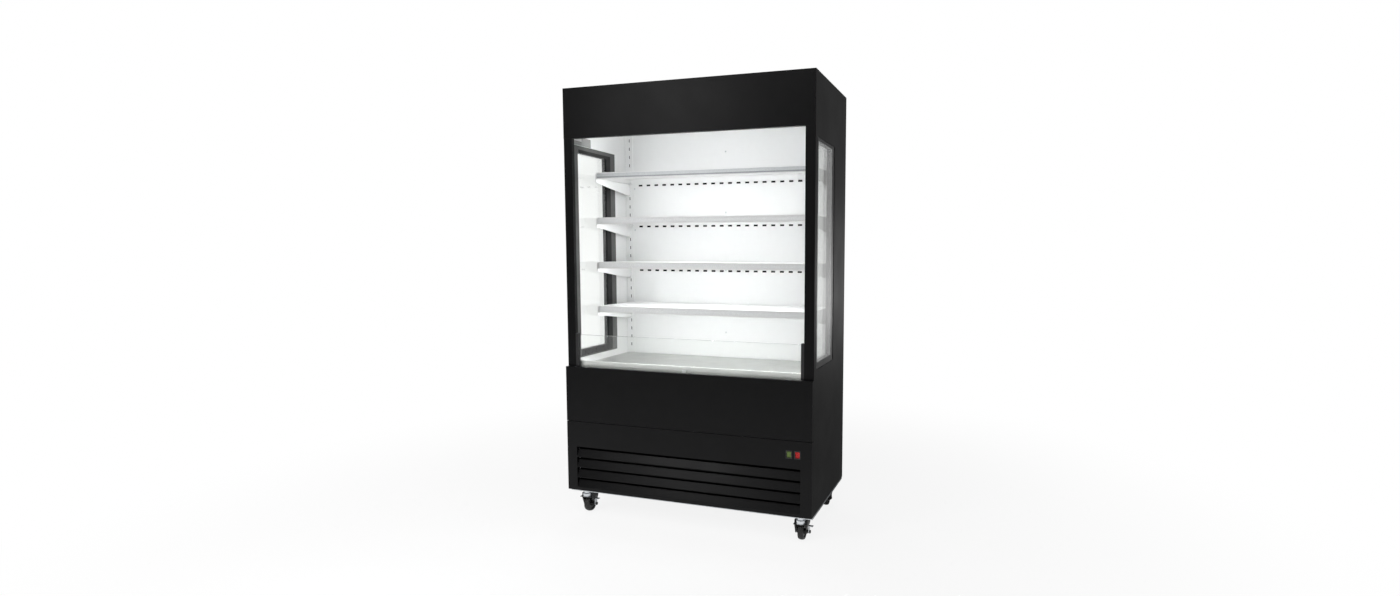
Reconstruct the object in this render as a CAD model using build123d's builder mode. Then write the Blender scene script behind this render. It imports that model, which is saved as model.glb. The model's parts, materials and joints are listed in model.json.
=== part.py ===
from build123d import *
import math
import os

# Open multideck display fridge, 1200 mm wide: an upright open-fronted chiller with glazed
# side walls, four shelves over a display deck, a louvred service panel and castors.
# Millimetres, +Z up, the front faces -Y, the origin is on the floor under the middle.

# ---- Overall size ----
WIDTH = 1200.0
DEPTH = 595.0
HEIGHT = 2000.0
PANEL_BOTTOM = 128.0            # floor to the lower edge of the front panels

# ---- Shell ----
SIDE_WALL = 28.0                # foamed side wall
LINER = 2.0                     # inner liner sheet
POST_WIDTH = 43.0               # black front post, seen from the front
FOLD_DEPTH = 20.0               # depth of the folded front faces
SHEET = 1.5                     # folded steel panels
PLATE = 2.0                     # plain sheet parts inside
ROOF = 40.0
REAR_WALL = 35.0
CORNER_RADIUS = 2.0
FASCIA_HEIGHT = 227.0
SERVICE_HEIGHT = 330.0          # lower, louvred front panel
SILL_HEIGHT = 590.0             # front panels' top above their bottom
SEAM = 2.5                      # gap between the two front panels
CHASSIS_RIM = 12.0              # depth of the galvanised tray below the panels
REAR_SILL = 310.0               # height of the rear vent cover

# ---- Side windows, from the posts' front plane and the panels' bottom ----
WINDOW_FRONT = 36.0
WINDOW_DEPTH = 306.0
WINDOW_SILL = 629.0
WINDOW_HEIGHT = 976.0
PANE_OUT = 5.0
PANE_IN = 4.0
PANE_SET_BACK = 2.0             # outer pane behind the skin
PANE_EDGE_GAP = 1.0
PANE_BITE = 8.0                 # inner pane beyond the clear opening
FRAME_FRONT = 24.0
FRAME_REAR = 39.0
FRAME_TOP = 15.0
FRAME_SILL = 30.0
TRIM = 4.0                      # thickness of the inner trim
TRIM_FRONT = 10.0               # overlaps of the trim on the liner
TRIM_REAR = 42.0
TRIM_TOP = 18.0
TRIM_SILL = 6.0
FRAME_RADIUS = 5.0

# ---- Air path ----
REAR_DUCT = 38.0                # free depth of the duct behind the perforated back panel
CEILING_DROP = 95.0             # ceiling sheet under the roof
OUTLET_DEPTH = 80.0             # honeycomb air outlet, front to back
OUTLET_RISE = 22.0              # outlet above the fascia's lower edge
OUTLET_THICK = 16.0
OUTLET_SLOT = 26.0
OUTLET_ROWS = 3
OUTLET_COLUMNS = 26
CHEEK_DEPTH = 158.0             # end cheeks beside the outlet
PERFORATION = (22.0, 9.0)
PERFORATION_PITCH = 46.0
PERFORATION_COUNT = 22
PERFORATION_DROP = (33.0, 32.0, 47.0)   # rows below the tops of the three upper shelves

# ---- Shelves ----
SHELF_COUNT = 4
SHELF_STEPS = 5                 # upright slots from one shelf to the next
SLOT_PITCH = 43.0
SLOT = (5.0, 16.0)
SLOT_INSET = 24.0               # slot column from the liner
SLOT_DROP = 14.0                # upper slot below its shelf's top
UPRIGHT_WIDTH = 44.0
TOP_SHELF = 1508.0              # above the panels' bottom
SHELF_FRONT = 167.0             # front edge behind the posts' plane
SHELF_SIDE_GAP = 33.0
SHELF_BACK_GAP = 4.0
SHELF_EDGE = 25.0               # depth of the folded shelf edges
RAIL_HEIGHT = 31.0              # price rail
RAIL_DEPTH = 7.0
RAIL_LEAN = 2.0
SHELF_TRAVEL_SLOPE = 0.2        # rise for each unit of a lifted-out shelf's way forward
BRACKET = 3.0
BRACKET_REAR = 86.0             # bracket's lower edge below the shelf's top, at the back
BRACKET_FRONT = 46.0
BRACKET_TOP = 6.0
BRACKET_START = 9.0             # bracket's nose behind the shelf's front edge
BRACKET_LEDGE = 20.0
HOOK_DEPTH = 8.0
HOOK_CLEARANCE = 1.0
LIGHT = (24.0, 10.0)            # light batten, depth and height
LIGHT_LENGTH = 1010.0
LIGHT_SET_BACK = 6.0

# ---- Base ----
TUB_WALL = 30.0
TUB_FLOOR = 40.0
TUB_LIFT = 7.0                  # tub's underside above the panels' seam
TUB_RIM = 12.0                  # tub's front wall below the sill
DECK_EDGE = 22.0
DECK_SIDE_GAP = 4.0
DECK_FRONT = 64.0               # behind the posts' plane
DECK_BACK_GAP = 3.0
LEDGE = 14.0
GRILLE_RISE = 24.0              # return grille's lip above the deck
GRILLE_LIP = 8.0
GRILLE_FRONT = 22.0
GRILLE_SLOT = (30.0, 9.0)
GRILLE_SLOTS = 24
DECK_GAP = 1.0

# ---- Glass riser ----
RISER_GLASS = 6.0
RISER_SET_BACK = 6.0
RISER_HEIGHT = 150.0            # above the sill
RISER_POST_RISE = 5.0
RISER_POST = (14.0, 18.0)
RISER_GROOVE = 8.0
RISER_PLAY = 0.5
CLIP_WIDTH = 20.0
CLIP_WALL = 2.5
CLIP_RISE = 12.0

# ---- Louvred service panel ----
LOUVRE_COUNT = 4
LOUVRE_PITCH = 49.5
LOUVRE_MARGIN = 51.0            # panel's edge to the louvres' ends
LOUVRE_FOOT = 12.0              # lowest blade above the panel's bottom
LOUVRE_SLOT = 14.0              # open height between two blades
LOUVRE_DEPTH = 15.0
SWITCH_SPACING = 38.0
SWITCH_EDGE = 83.5              # panel's edge to the middle of the switch pair
SWITCH_HEIGHT = 271.0
ROCKER = (20.0, 28.0)
ROCKER_PLAY = 0.5
ROCKER_TILT = 9.0
ROCKER_PIVOT = 9.0              # pivot behind the panel's face
ROCKER_DISH = 1.2
BEZEL_WALL = 3.0
BEZEL_DEPTH = 18.0

# ---- Castors ----
CASTOR_INSET = 64.0             # swivel axes from the sides
CASTOR_FRONT = 40.0             # front swivel axis behind the posts' plane
CASTOR_REAR = 96.0              # rear swivel axis before the back
CASTOR_PLATE = 60.0
CASTOR_PLATE_THICK = 3.0
BOLT_SPACING = 42.0
BOLT_HOLE = 3.2
RACEWAY_RADIUS = 20.0
RACEWAY_HEIGHT = 17.0
NECK_RADIUS = 15.0              # sleeve between the top plate and the raceway
NECK_HEIGHT = 15.0
KINGPIN = 5.0
RUNNING_FIT = 0.05
SWIVEL_GAP = 0.3
FORK_SHEET = 3.0
FORK_INSIDE = 40.0              # between the legs' feet
FORK_SHOULDER = 7.0             # each leg's step outwards, up to the crown
FORK_TOP_DEPTH = 46.0           # legs' depth at the crown
CROWN_FRONT = 16.0              # crown before the swivel axis
TRAIL = 24.0
WHEEL_RADIUS = 37.5
WHEEL_WIDTH = 25.0
TREAD = 6.0
AXLE = 4.0
AXLE_END = 5.0
FORK_FOOT = 11.0
FORK_EAR = 12.0                 # legs beside the raceway, above the crown
PEDAL_REACH = 27.0              # brake lever's tread above the axle
PEDAL_OUT = 19.0                # tread beyond the fork's leg
PEDAL_SHEET = 2.5
PEDAL_TREAD = 16.0

# ---- Machine compartment and evaporator ----
FIN_PITCH = 24.0
FIN = 1.5
CONDENSER = (440.0, 50.0, 290.0)
CONDENSER_LEFT = 70.0           # condenser's end from the side wall
CONDENSER_FRONT = 50.0
CONDENSER_FOOT = 10.0
SHROUD_DEPTH = 36.0
CONDENSER_FAN = 112.0
CONDENSER_HUB = 30.0
CONDENSER_MOTOR = 50.0
EVAPORATOR = (800.0, 200.0, 140.0)
EVAPORATOR_FRONT = 170.0
EVAPORATOR_SHIFT = -70.0
FAN_DECK_FRONT = 118.0
EVAPORATOR_FAN = 62.0
EVAPORATOR_HUB = 16.0
EVAPORATOR_MOTOR = 34.0
EVAPORATOR_FAN_X = 250.0
FAN_TIP_GAP = 5.0
FAN_SHAFT = 3.0
FAN_BLADES = 5
FAN_DEPTH = 16.0
FAN_GAP = 8.0
BLADE_PITCH = 40.0
BLADE_TWIST = 22.0
COMPRESSOR_RADIUS = 80.0
COMPRESSOR_HEIGHT = 190.0
STUB = 7.0                      # compressor's pipe stubs
STUB_RISE = 12.0
FOOT_RADIUS = 9.0
TERMINAL_BOX = (60.0, 26.0, 70.0)   # width, reach and height
TERMINAL_BOX_FOOT = 60.0
COMPRESSOR_AT = (255.0, 330.0)
GROMMET = 14.0
TRAY_SIZE = (560.0, 200.0, 40.0)
TRAY_AT = (-230.0, 145.0)       # middle, before the back
DRAIN_SHIFT = (-100.0, 20.0)    # drain from the tray's middle
CONTROL_BOX = (150.0, 70.0, 110.0)
CONTROL_BOX_FRONT = 30.0        # behind the posts' plane
CONTROL_BOX_DROP = 20.0         # below the tub
CABLE_ENTRY = 9.0
CABLE_SPACING = 38.0
PIPE = 5.0
PIPE_BEND = 22.4
PIPE_HOLE = 12.0
SUCTION_HOLE = (385.0, 250.0)   # pipes' ways through the tub, behind the posts' plane
LIQUID_HOLE = (430.0, 300.0)
SUCTION_PORT = 60.0             # above the tub's floor
LIQUID_PORT = 100.0
SUCTION_LOOP = 60.0             # above the compressor's stub
DISCHARGE_RISE = 35.0
DISCHARGE_REACH = 120.0
CONDENSER_PORT_BACK = 20.0      # condenser's ports before its back
CONDENSER_PORT_TOP = 25.0
CONDENSER_PORT_FOOT = 30.0
LIQUID_RISE = 40.0
DISCHARGE_PIPE = 4.0
LIQUID_PIPE = 3.0
DRAIN = 9.0

# ---- Screws ----
SCREW_HEAD = 4.5
SCREW_RISE = 1.6
TOP_SCREW = 200.0               # middle row: below the roof,
SCREW_OVER_SHELF = 35.0         # above the second shelf,
SCREW_UNDER_SHELF = 41.0        # below the third
DECK_SCREW = 127.0              # and above the deck
SIDE_SCREW_INSET = 8.0          # beside the uprights, below the two upper shelves
SIDE_SCREW_DROP = 50.0
COVER_SCREW_INSET = 12.0

# ---- Places worked out from the sizes above ----
FRONT = -DEPTH / 2
FACE = FRONT + FOLD_DEPTH       # the posts' front plane; the front panels stand proud of it
BACK = DEPTH / 2
CHASSIS_Z = PANEL_BOTTOM - CHASSIS_RIM
FLOOR_Z = CHASSIS_Z + PLATE
SEAM_Z = PANEL_BOTTOM + SERVICE_HEIGHT
SILL_Z = PANEL_BOTTOM + SILL_HEIGHT
FASCIA_Z = HEIGHT - FASCIA_HEIGHT
ROOF_Z = HEIGHT - ROOF
CEILING_Z = ROOF_Z - CEILING_DROP
INNER_X = WIDTH / 2 - SIDE_WALL         # inside of the side walls
LINER_X = INNER_X - LINER               # inside of the liners
POST_X = WIDTH / 2 - POST_WIDTH         # inner edge of the posts
REAR_Y = BACK - REAR_WALL               # front of the rear wall
CASTOR_X = WIDTH / 2 - CASTOR_INSET
DUCT_Y = REAR_Y - REAR_DUCT - PLATE     # front of the back panel
TUB_Z = SEAM_Z + TUB_LIFT
WELL_Z = TUB_Z + TUB_FLOOR
RIM_Z = SILL_Z - TUB_RIM
WINDOW_Y = (FACE + WINDOW_FRONT, FACE + WINDOW_FRONT + WINDOW_DEPTH)
WINDOW_Z = (PANEL_BOTTOM + WINDOW_SILL, PANEL_BOTTOM + WINDOW_SILL + WINDOW_HEIGHT)
CLEAR_Y = (WINDOW_Y[0] + FRAME_FRONT, WINDOW_Y[1] - FRAME_REAR)
CLEAR_Z = (WINDOW_Z[0] + FRAME_SILL, WINDOW_Z[1] - FRAME_TOP)
UPRIGHT_Y = DUCT_Y - PLATE
SLOT_X = LINER_X - SLOT_INSET
SHELF_HALF = LINER_X - SHELF_SIDE_GAP
SHELF_PITCH = SHELF_STEPS * SLOT_PITCH
SHELF_Y = FACE + SHELF_FRONT
SHELF_BACK = UPRIGHT_Y - SHELF_BACK_GAP
SHELF_Z = [PANEL_BOTTOM + TOP_SHELF - i * SHELF_PITCH for i in range(SHELF_COUNT)]
DECK_Z = SILL_Z
LEDGE_Z = DECK_Z - DECK_EDGE
RISER_Z = RIM_Z + CLIP_WALL
SIDES = (("left", -1), ("right", 1))

os.makedirs("parts", exist_ok=True)


def write(piece, label):
    """Label a finished piece and write it to its own file."""
    piece.part.label = label
    export_step(piece.part, f"parts/{label}.step")


def facing_front(y):
    """Plane at depth y: local x is X, local y is Z, and an extrusion comes towards the front."""
    return Plane.XZ.offset(-y)


def facing_right(x):
    """Plane at x: local x is depth Y, local y is height Z, and an extrusion goes towards +X."""
    return Plane.YZ.offset(x)


def window(low, high, mode=Mode.ADD, radius=0.0):
    """Rectangle between two corners of the current sketch plane, its corners rounded if asked."""
    with Locations(((low[0] + high[0]) / 2, (low[1] + high[1]) / 2)):
        if radius:
            RectangleRounded(high[0] - low[0], high[1] - low[1], radius, mode=mode)
        else:
            Rectangle(high[0] - low[0], high[1] - low[1], mode=mode)


def block(x, y, z, mode=Mode.ADD):
    """Box between pairs of x, y and z limits."""
    with Locations(((x[0] + x[1]) / 2, (y[0] + y[1]) / 2, (z[0] + z[1]) / 2)):
        Box(abs(x[1] - x[0]), y[1] - y[0], z[1] - z[0], mode=mode)


def bent_sheet(points, thickness, half_length, mode=Mode.ADD):
    """Folded sheet: a line of depth and height points, thickened to its left, along X."""
    with BuildSketch(facing_right(-half_length)) as section:
        with BuildLine():
            Polyline(*points)
            offset(amount=thickness, side=Side.LEFT, kind=Kind.INTERSECTION)
        make_face()
    extrude(section.sketch, amount=2 * half_length, mode=mode)


def folded_tray(y, z, sheet):
    """Full-width panel folded from sheet: a shallow box that is open at the back."""
    block((-WIDTH / 2, WIDTH / 2), y, z)
    back_face = faces().sort_by(Axis.Y)[-1]
    offset(amount=-sheet, openings=back_face)


# ---- Chassis: galvanised tray with a C-shaped rim that carries the side walls ----
with BuildPart() as chassis_tray:
    rim_x = WIDTH / 2 - PLATE
    tray_y = (FACE + PLATE, BACK - PLATE)
    block((-rim_x, rim_x), tray_y, (CHASSIS_Z, PANEL_BOTTOM))
    block((-rim_x + PLATE, rim_x - PLATE), (tray_y[0] + PLATE, tray_y[1] - PLATE),
          (FLOOR_Z, PANEL_BOTTOM - PLATE), mode=Mode.SUBTRACT)
    block((-INNER_X, INNER_X), (tray_y[0] + FOLD_DEPTH, tray_y[1] - FOLD_DEPTH),
          (PANEL_BOTTOM - PLATE, PANEL_BOTTOM), mode=Mode.SUBTRACT)
write(chassis_tray, "chassis_tray")

# ---- Side walls with their windows ----
for side, sign in SIDES:
    with BuildPart() as side_panel:
        with BuildSketch(Plane.XY.offset(PANEL_BOTTOM)):
            with BuildLine():
                Polyline((sign * WIDTH / 2, FACE), (sign * WIDTH / 2, BACK), (sign * INNER_X, BACK),
                         (sign * INNER_X, FACE + FOLD_DEPTH), (sign * POST_X, FACE + FOLD_DEPTH),
                         (sign * POST_X, FACE), close=True)
            make_face()
        extrude(amount=HEIGHT - PANEL_BOTTOM)
        outer_edges = edges().filter_by(Axis.Z).group_by(Axis.X)[0 if sign < 0 else -1]
        fillet(outer_edges, CORNER_RADIUS)
        block((-WIDTH, WIDTH), (FACE, FACE + FOLD_DEPTH), (FASCIA_Z, HEIGHT), mode=Mode.SUBTRACT)
        with BuildSketch(facing_right(-WIDTH)):
            window((WINDOW_Y[0], WINDOW_Z[0]), (WINDOW_Y[1], WINDOW_Z[1]))
        extrude(amount=2 * WIDTH, mode=Mode.SUBTRACT)
    write(side_panel, f"side_panel_{side}")

    with BuildPart() as side_liner:
        with BuildSketch(facing_right(sign * (LINER_X + LINER / 2))):
            window((FACE + FOLD_DEPTH, TUB_Z), (REAR_Y, ROOF_Z))
            window((WINDOW_Y[0], WINDOW_Z[0]), (WINDOW_Y[1], WINDOW_Z[1]), mode=Mode.SUBTRACT)
        extrude(amount=LINER / 2, both=True)
        # Ledge that carries the deck pan's side edge.
        ledge_x = sorted((sign * (LINER_X - LEDGE), sign * LINER_X))
        block(ledge_x, (FACE + DECK_FRONT, UPRIGHT_Y), (LEDGE_Z - PLATE, LEDGE_Z))
    write(side_liner, f"side_liner_{side}")

    pane_x = WIDTH / 2 - PANE_SET_BACK - PANE_OUT
    core_x = LINER_X + PANE_IN
    with BuildPart() as window_frame:
        # Foamed frame core between the two panes.
        with BuildSketch(facing_right(sign * (pane_x + core_x) / 2)):
            window((WINDOW_Y[0], WINDOW_Z[0]), (WINDOW_Y[1], WINDOW_Z[1]))
        extrude(amount=(pane_x - core_x) / 2, both=True)
        # Trim that laps over the liner and holds the inner pane.
        with BuildSketch(facing_right(sign * (LINER_X - TRIM / 2))):
            window((WINDOW_Y[0] - TRIM_FRONT, WINDOW_Z[0] - TRIM_SILL),
                   (WINDOW_Y[1] + TRIM_REAR, WINDOW_Z[1] + TRIM_TOP))
        extrude(amount=TRIM / 2, both=True)
        with BuildSketch(facing_right(-WIDTH)):
            window((CLEAR_Y[0], CLEAR_Z[0]), (CLEAR_Y[1], CLEAR_Z[1]), radius=FRAME_RADIUS)
        extrude(amount=2 * WIDTH, mode=Mode.SUBTRACT)
    write(window_frame, f"window_frame_{side}")

    with BuildPart() as side_glass:
        with BuildSketch(facing_right(sign * (pane_x + PANE_OUT / 2))):
            window((WINDOW_Y[0] + PANE_EDGE_GAP, WINDOW_Z[0] + PANE_EDGE_GAP),
                   (WINDOW_Y[1] - PANE_EDGE_GAP, WINDOW_Z[1] - PANE_EDGE_GAP))
        extrude(amount=PANE_OUT / 2, both=True)
        with BuildSketch(facing_right(sign * (LINER_X + PANE_IN / 2))):
            window((CLEAR_Y[0] - PANE_BITE, CLEAR_Z[0] - PANE_BITE),
                   (CLEAR_Y[1] + PANE_BITE, CLEAR_Z[1] + PANE_BITE))
        extrude(amount=PANE_IN / 2, both=True)
    write(side_glass, f"side_glass_{side}")

# ---- Roof, rear wall and the vented cover of the machine compartment ----
REAR_COVER_Z = PANEL_BOTTOM + REAR_SILL
with BuildPart() as roof_panel:
    block((-INNER_X, INNER_X), (FACE + FOLD_DEPTH, BACK), (ROOF_Z, HEIGHT))
    fillet(edges().filter_by(Axis.X).sort_by(Axis.Y)[-1], CORNER_RADIUS)
write(roof_panel, "roof_panel")

with BuildPart() as rear_panel:
    block((-INNER_X, INNER_X), (REAR_Y, BACK), (REAR_COVER_Z, ROOF_Z))
write(rear_panel, "rear_panel")

VENT = (60.0, 7.0)
VENT_COLUMNS = 12
VENT_ROWS = 8
VENT_GRID = (84.0, 22.0)
GLAND_X = 500.0
GLAND_Z = PANEL_BOTTOM + 60.0
GLAND_RADIUS = 14.0
GLAND_BORE = 5.0
GLAND_RISE = 10.0
REAR_COVER_EDGE = 20.0
with BuildPart() as rear_vent_cover:
    cover_y = (BACK - REAR_COVER_EDGE, BACK - SCREW_RISE)
    block((-INNER_X, INNER_X), cover_y, (PANEL_BOTTOM, REAR_COVER_Z))
    offset(amount=-SHEET, openings=faces().sort_by(Axis.Y)[0])
    with BuildSketch(facing_front(BACK)):
        with Locations((-GLAND_X / 8, (PANEL_BOTTOM + REAR_COVER_Z) / 2)):
            with GridLocations(*VENT_GRID, VENT_COLUMNS, VENT_ROWS):
                Rectangle(*VENT)
    extrude(amount=REAR_COVER_EDGE / 2, mode=Mode.SUBTRACT)
    # Gland that the mains lead would leave through, inside the cover's depth.
    with BuildSketch(facing_front(cover_y[1])):
        with Locations((GLAND_X, GLAND_Z)):
            Circle(GLAND_RADIUS)
    extrude(amount=GLAND_RISE)
    with BuildSketch(facing_front(BACK)):
        with Locations((GLAND_X, GLAND_Z)):
            Circle(GLAND_BORE)
    extrude(amount=REAR_COVER_EDGE, mode=Mode.SUBTRACT)
write(rear_vent_cover, "rear_vent_cover")

# ---- Fascia and the plain front panel: folded trays ----
with BuildPart() as fascia_panel:
    folded_tray((FACE, FACE + FOLD_DEPTH), (FASCIA_Z, HEIGHT), SHEET)
write(fascia_panel, "fascia_panel")

with BuildPart() as front_upper_panel:
    folded_tray((FRONT, FACE), (SEAM_Z + SEAM, SILL_Z), SHEET)
write(front_upper_panel, "front_upper_panel")

# ---- Louvred service panel: blades lean in from a flush lower edge to a recessed upper edge ----
LOUVRE_X = WIDTH / 2 - LOUVRE_MARGIN
LOUVRE_Z = PANEL_BOTTOM + LOUVRE_FOOT
LOUVRE_TOP = LOUVRE_Z + LOUVRE_COUNT * LOUVRE_PITCH
SWITCH_X = [WIDTH / 2 - SWITCH_EDGE + k * SWITCH_SPACING / 2 for k in (-1, 1)]
SWITCH_Z = PANEL_BOTTOM + SWITCH_HEIGHT
BEZEL = (ROCKER[0] + 2 * (ROCKER_PLAY + BEZEL_WALL), ROCKER[1] + 2 * (ROCKER_PLAY + BEZEL_WALL))
with BuildPart() as service_panel:
    folded_tray((FRONT, FACE), (PANEL_BOTTOM, SEAM_Z), SHEET)
    with BuildSketch(facing_front(FRONT + SHEET)):
        window((-LOUVRE_X, LOUVRE_Z), (LOUVRE_X, LOUVRE_TOP))
        with Locations(*[(x, SWITCH_Z) for x in SWITCH_X]):
            Rectangle(*BEZEL)
    extrude(amount=SHEET, mode=Mode.SUBTRACT)
    # One blade's section, repeated up the opening.
    with BuildSketch(facing_right(-LOUVRE_X)):
        for i in range(LOUVRE_COUNT):
            foot = LOUVRE_Z + i * LOUVRE_PITCH
            top = foot + LOUVRE_PITCH - LOUVRE_SLOT
            with BuildLine():
                Polyline((FRONT, foot), (FRONT + LOUVRE_DEPTH / 3, foot), (FRONT + LOUVRE_DEPTH / 3, foot + SHEET),
                         (FRONT + SHEET, foot + SHEET), (FRONT + SHEET, foot + 2 * SHEET),
                         (FRONT + LOUVRE_DEPTH, top), (FRONT + LOUVRE_DEPTH - SHEET, top),
                         (FRONT, foot + 2 * SHEET), close=True)
            make_face()
    extrude(amount=2 * LOUVRE_X)
    # Cheeks that close the louvres' ends.
    for sign in (-1, 1):
        cheek = sorted((sign * LOUVRE_X, sign * (LOUVRE_X + SHEET)))
        block(cheek, (FRONT, FRONT + LOUVRE_DEPTH), (LOUVRE_Z, LOUVRE_TOP))
write(service_panel, "service_panel")

# ---- Switches ----
with BuildPart() as switch_bezels:
    with BuildSketch(facing_front(FRONT + BEZEL_DEPTH)):
        with Locations(*[(x, SWITCH_Z) for x in SWITCH_X]):
            Rectangle(*BEZEL)
            Rectangle(ROCKER[0] + 2 * ROCKER_PLAY, ROCKER[1] + 2 * ROCKER_PLAY, mode=Mode.SUBTRACT)
    extrude(amount=BEZEL_DEPTH)
    # Floor behind each rocker.
    with BuildSketch(facing_front(FRONT + BEZEL_DEPTH + SHEET)):
        with Locations(*[(x, SWITCH_Z) for x in SWITCH_X]):
            Rectangle(*BEZEL)
    extrude(amount=SHEET)
write(switch_bezels, "switch_bezels")

for label, switch_x, tilt in (("light_rocker", SWITCH_X[0], ROCKER_TILT),
                              ("power_rocker", SWITCH_X[1], ROCKER_TILT)):
    lean = math.radians(tilt)
    pivot = Plane(origin=(switch_x - ROCKER[0] / 2, FRONT + ROCKER_PIVOT, SWITCH_Z),
                  x_dir=(0, math.cos(lean), math.sin(lean)), z_dir=(1, 0, 0))
    with BuildPart() as rocker:
        with BuildSketch(pivot):
            half = ROCKER[1] / 2 - ROCKER_PLAY
            reach = half * math.sin(lean)
            lip = ROCKER_PIVOT - reach - ROCKER_PLAY
            with BuildLine():
                Polyline((-lip, half), (-lip + ROCKER_DISH, 0), (-lip, -half), (0, -half + SHEET))
                ThreePointArc((0, -half + SHEET), (half / 3, 0), (0, half - SHEET))
                Line((0, half - SHEET), (-lip, half))
            make_face()
        extrude(amount=ROCKER[0])
    write(rocker, label)

# ---- Insulated tub under the deck ----
PIPE_HOLES = [(x, FACE + behind) for x, behind in (SUCTION_HOLE, LIQUID_HOLE)]
DRAIN_AT = (TRAY_AT[0] + DRAIN_SHIFT[0], BACK - TRAY_AT[1] + DRAIN_SHIFT[1])
with BuildPart() as insulated_tub:
    with BuildSketch(facing_right(-LINER_X)):
        window((FACE, TUB_Z), (REAR_Y, WELL_Z))
        window((FACE, TUB_Z), (FACE + TUB_WALL, RIM_Z))
    extrude(amount=2 * LINER_X)
    for sign in (-1, 1):
        block(sorted((sign * POST_X, sign * WIDTH / 2)), (FACE, FACE + FOLD_DEPTH), (TUB_Z, RIM_Z),
              mode=Mode.SUBTRACT)
    with BuildSketch(Plane.XY.offset(TUB_Z)):
        with Locations(*PIPE_HOLES):
            Circle(PIPE_HOLE)
        with Locations(DRAIN_AT):
            Circle(DRAIN)
    extrude(amount=TUB_FLOOR, mode=Mode.SUBTRACT)
write(insulated_tub, "insulated_tub")

# ---- Back panel with its air slots, and the slotted uprights beside it ----
UPRIGHT_X = LINER_X - UPRIGHT_WIDTH
DUCT_BOTTOM = SILL_Z - 2 * DECK_EDGE
with BuildPart() as back_duct_panel:
    with BuildSketch(facing_front(DUCT_Y + PLATE)):
        window((-UPRIGHT_X, DUCT_BOTTOM), (UPRIGHT_X, CEILING_Z))
        row_heights = [top - drop for top, drop in zip(SHELF_Z, PERFORATION_DROP)]
        with Locations(*[(0, z) for z in row_heights]):
            with GridLocations(PERFORATION_PITCH, PERFORATION_PITCH, PERFORATION_COUNT, 1):
                Rectangle(*PERFORATION, mode=Mode.SUBTRACT)
    extrude(amount=PLATE)
write(back_duct_panel, "back_duct_panel")

SLOT_TOP = SHELF_Z[0] - SLOT_DROP
SLOTS_ABOVE = int((CEILING_Z - SLOT_TOP - SLOT[1]) // SLOT_PITCH)
SLOTS_BELOW = int((SLOT_TOP - SILL_Z - SLOT[1]) // SLOT_PITCH)
with BuildPart() as shelf_uprights:
    with BuildSketch(Plane.XY.offset(DUCT_BOTTOM)):
        for sign in (-1, 1):
            near, far = sorted((sign * UPRIGHT_X, sign * LINER_X))
            window((near, UPRIGHT_Y), (far, REAR_Y))
            window((near + PLATE, UPRIGHT_Y + PLATE), (far - PLATE, REAR_Y), mode=Mode.SUBTRACT)
    extrude(amount=CEILING_Z - DUCT_BOTTOM)
    with BuildSketch(facing_front(UPRIGHT_Y + PLATE)):
        slot_heights = [SLOT_TOP + k * SLOT_PITCH for k in range(-SLOTS_BELOW, SLOTS_ABOVE + 1)]
        with Locations(*[(sign * SLOT_X, z) for sign in (-1, 1) for z in slot_heights]):
            Rectangle(*SLOT)
    extrude(amount=PLATE, mode=Mode.SUBTRACT)
write(shelf_uprights, "shelf_uprights")

# ---- Ceiling: supply duct sheet and the honeycomb air outlet ----
OUTLET_Z = FASCIA_Z + OUTLET_RISE
OUTLET_Y = (FACE + FOLD_DEPTH, FACE + FOLD_DEPTH + OUTLET_DEPTH)
with BuildPart() as ceiling_duct:
    bent_sheet([(REAR_Y, CEILING_Z + PLATE), (OUTLET_Y[1], CEILING_Z + PLATE), (OUTLET_Y[1], OUTLET_Z),
                (OUTLET_Y[1] - LEDGE / 2, OUTLET_Z)], PLATE, LINER_X)
write(ceiling_duct, "ceiling_duct")

with BuildPart() as air_outlet_grille:
    with BuildSketch(Plane.XY.offset(OUTLET_Z)):
        window((-LINER_X, OUTLET_Y[0]), (LINER_X, OUTLET_Y[1]))
        with Locations((0, sum(OUTLET_Y) / 2)):
            cell = (2 * LINER_X / (OUTLET_COLUMNS + 1), OUTLET_DEPTH / (OUTLET_ROWS + 0.3))
            with GridLocations(*cell, OUTLET_COLUMNS, OUTLET_ROWS):
                Rectangle(cell[0] - 2 * PLATE, cell[1] - 2 * PLATE, mode=Mode.SUBTRACT)
    extrude(amount=OUTLET_THICK)
    # Hanger behind the fascia, and the end cheeks on the liners.
    block((-LINER_X, LINER_X), (OUTLET_Y[0], OUTLET_Y[0] + SHEET), (FASCIA_Z, OUTLET_Z))
    for sign in (-1, 1):
        cheek = sorted((sign * (LINER_X - PLATE), sign * LINER_X))
        block(cheek, (OUTLET_Y[0], OUTLET_Y[1] - LEDGE), (FASCIA_Z, OUTLET_Z))
write(air_outlet_grille, "air_outlet_grille")

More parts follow.
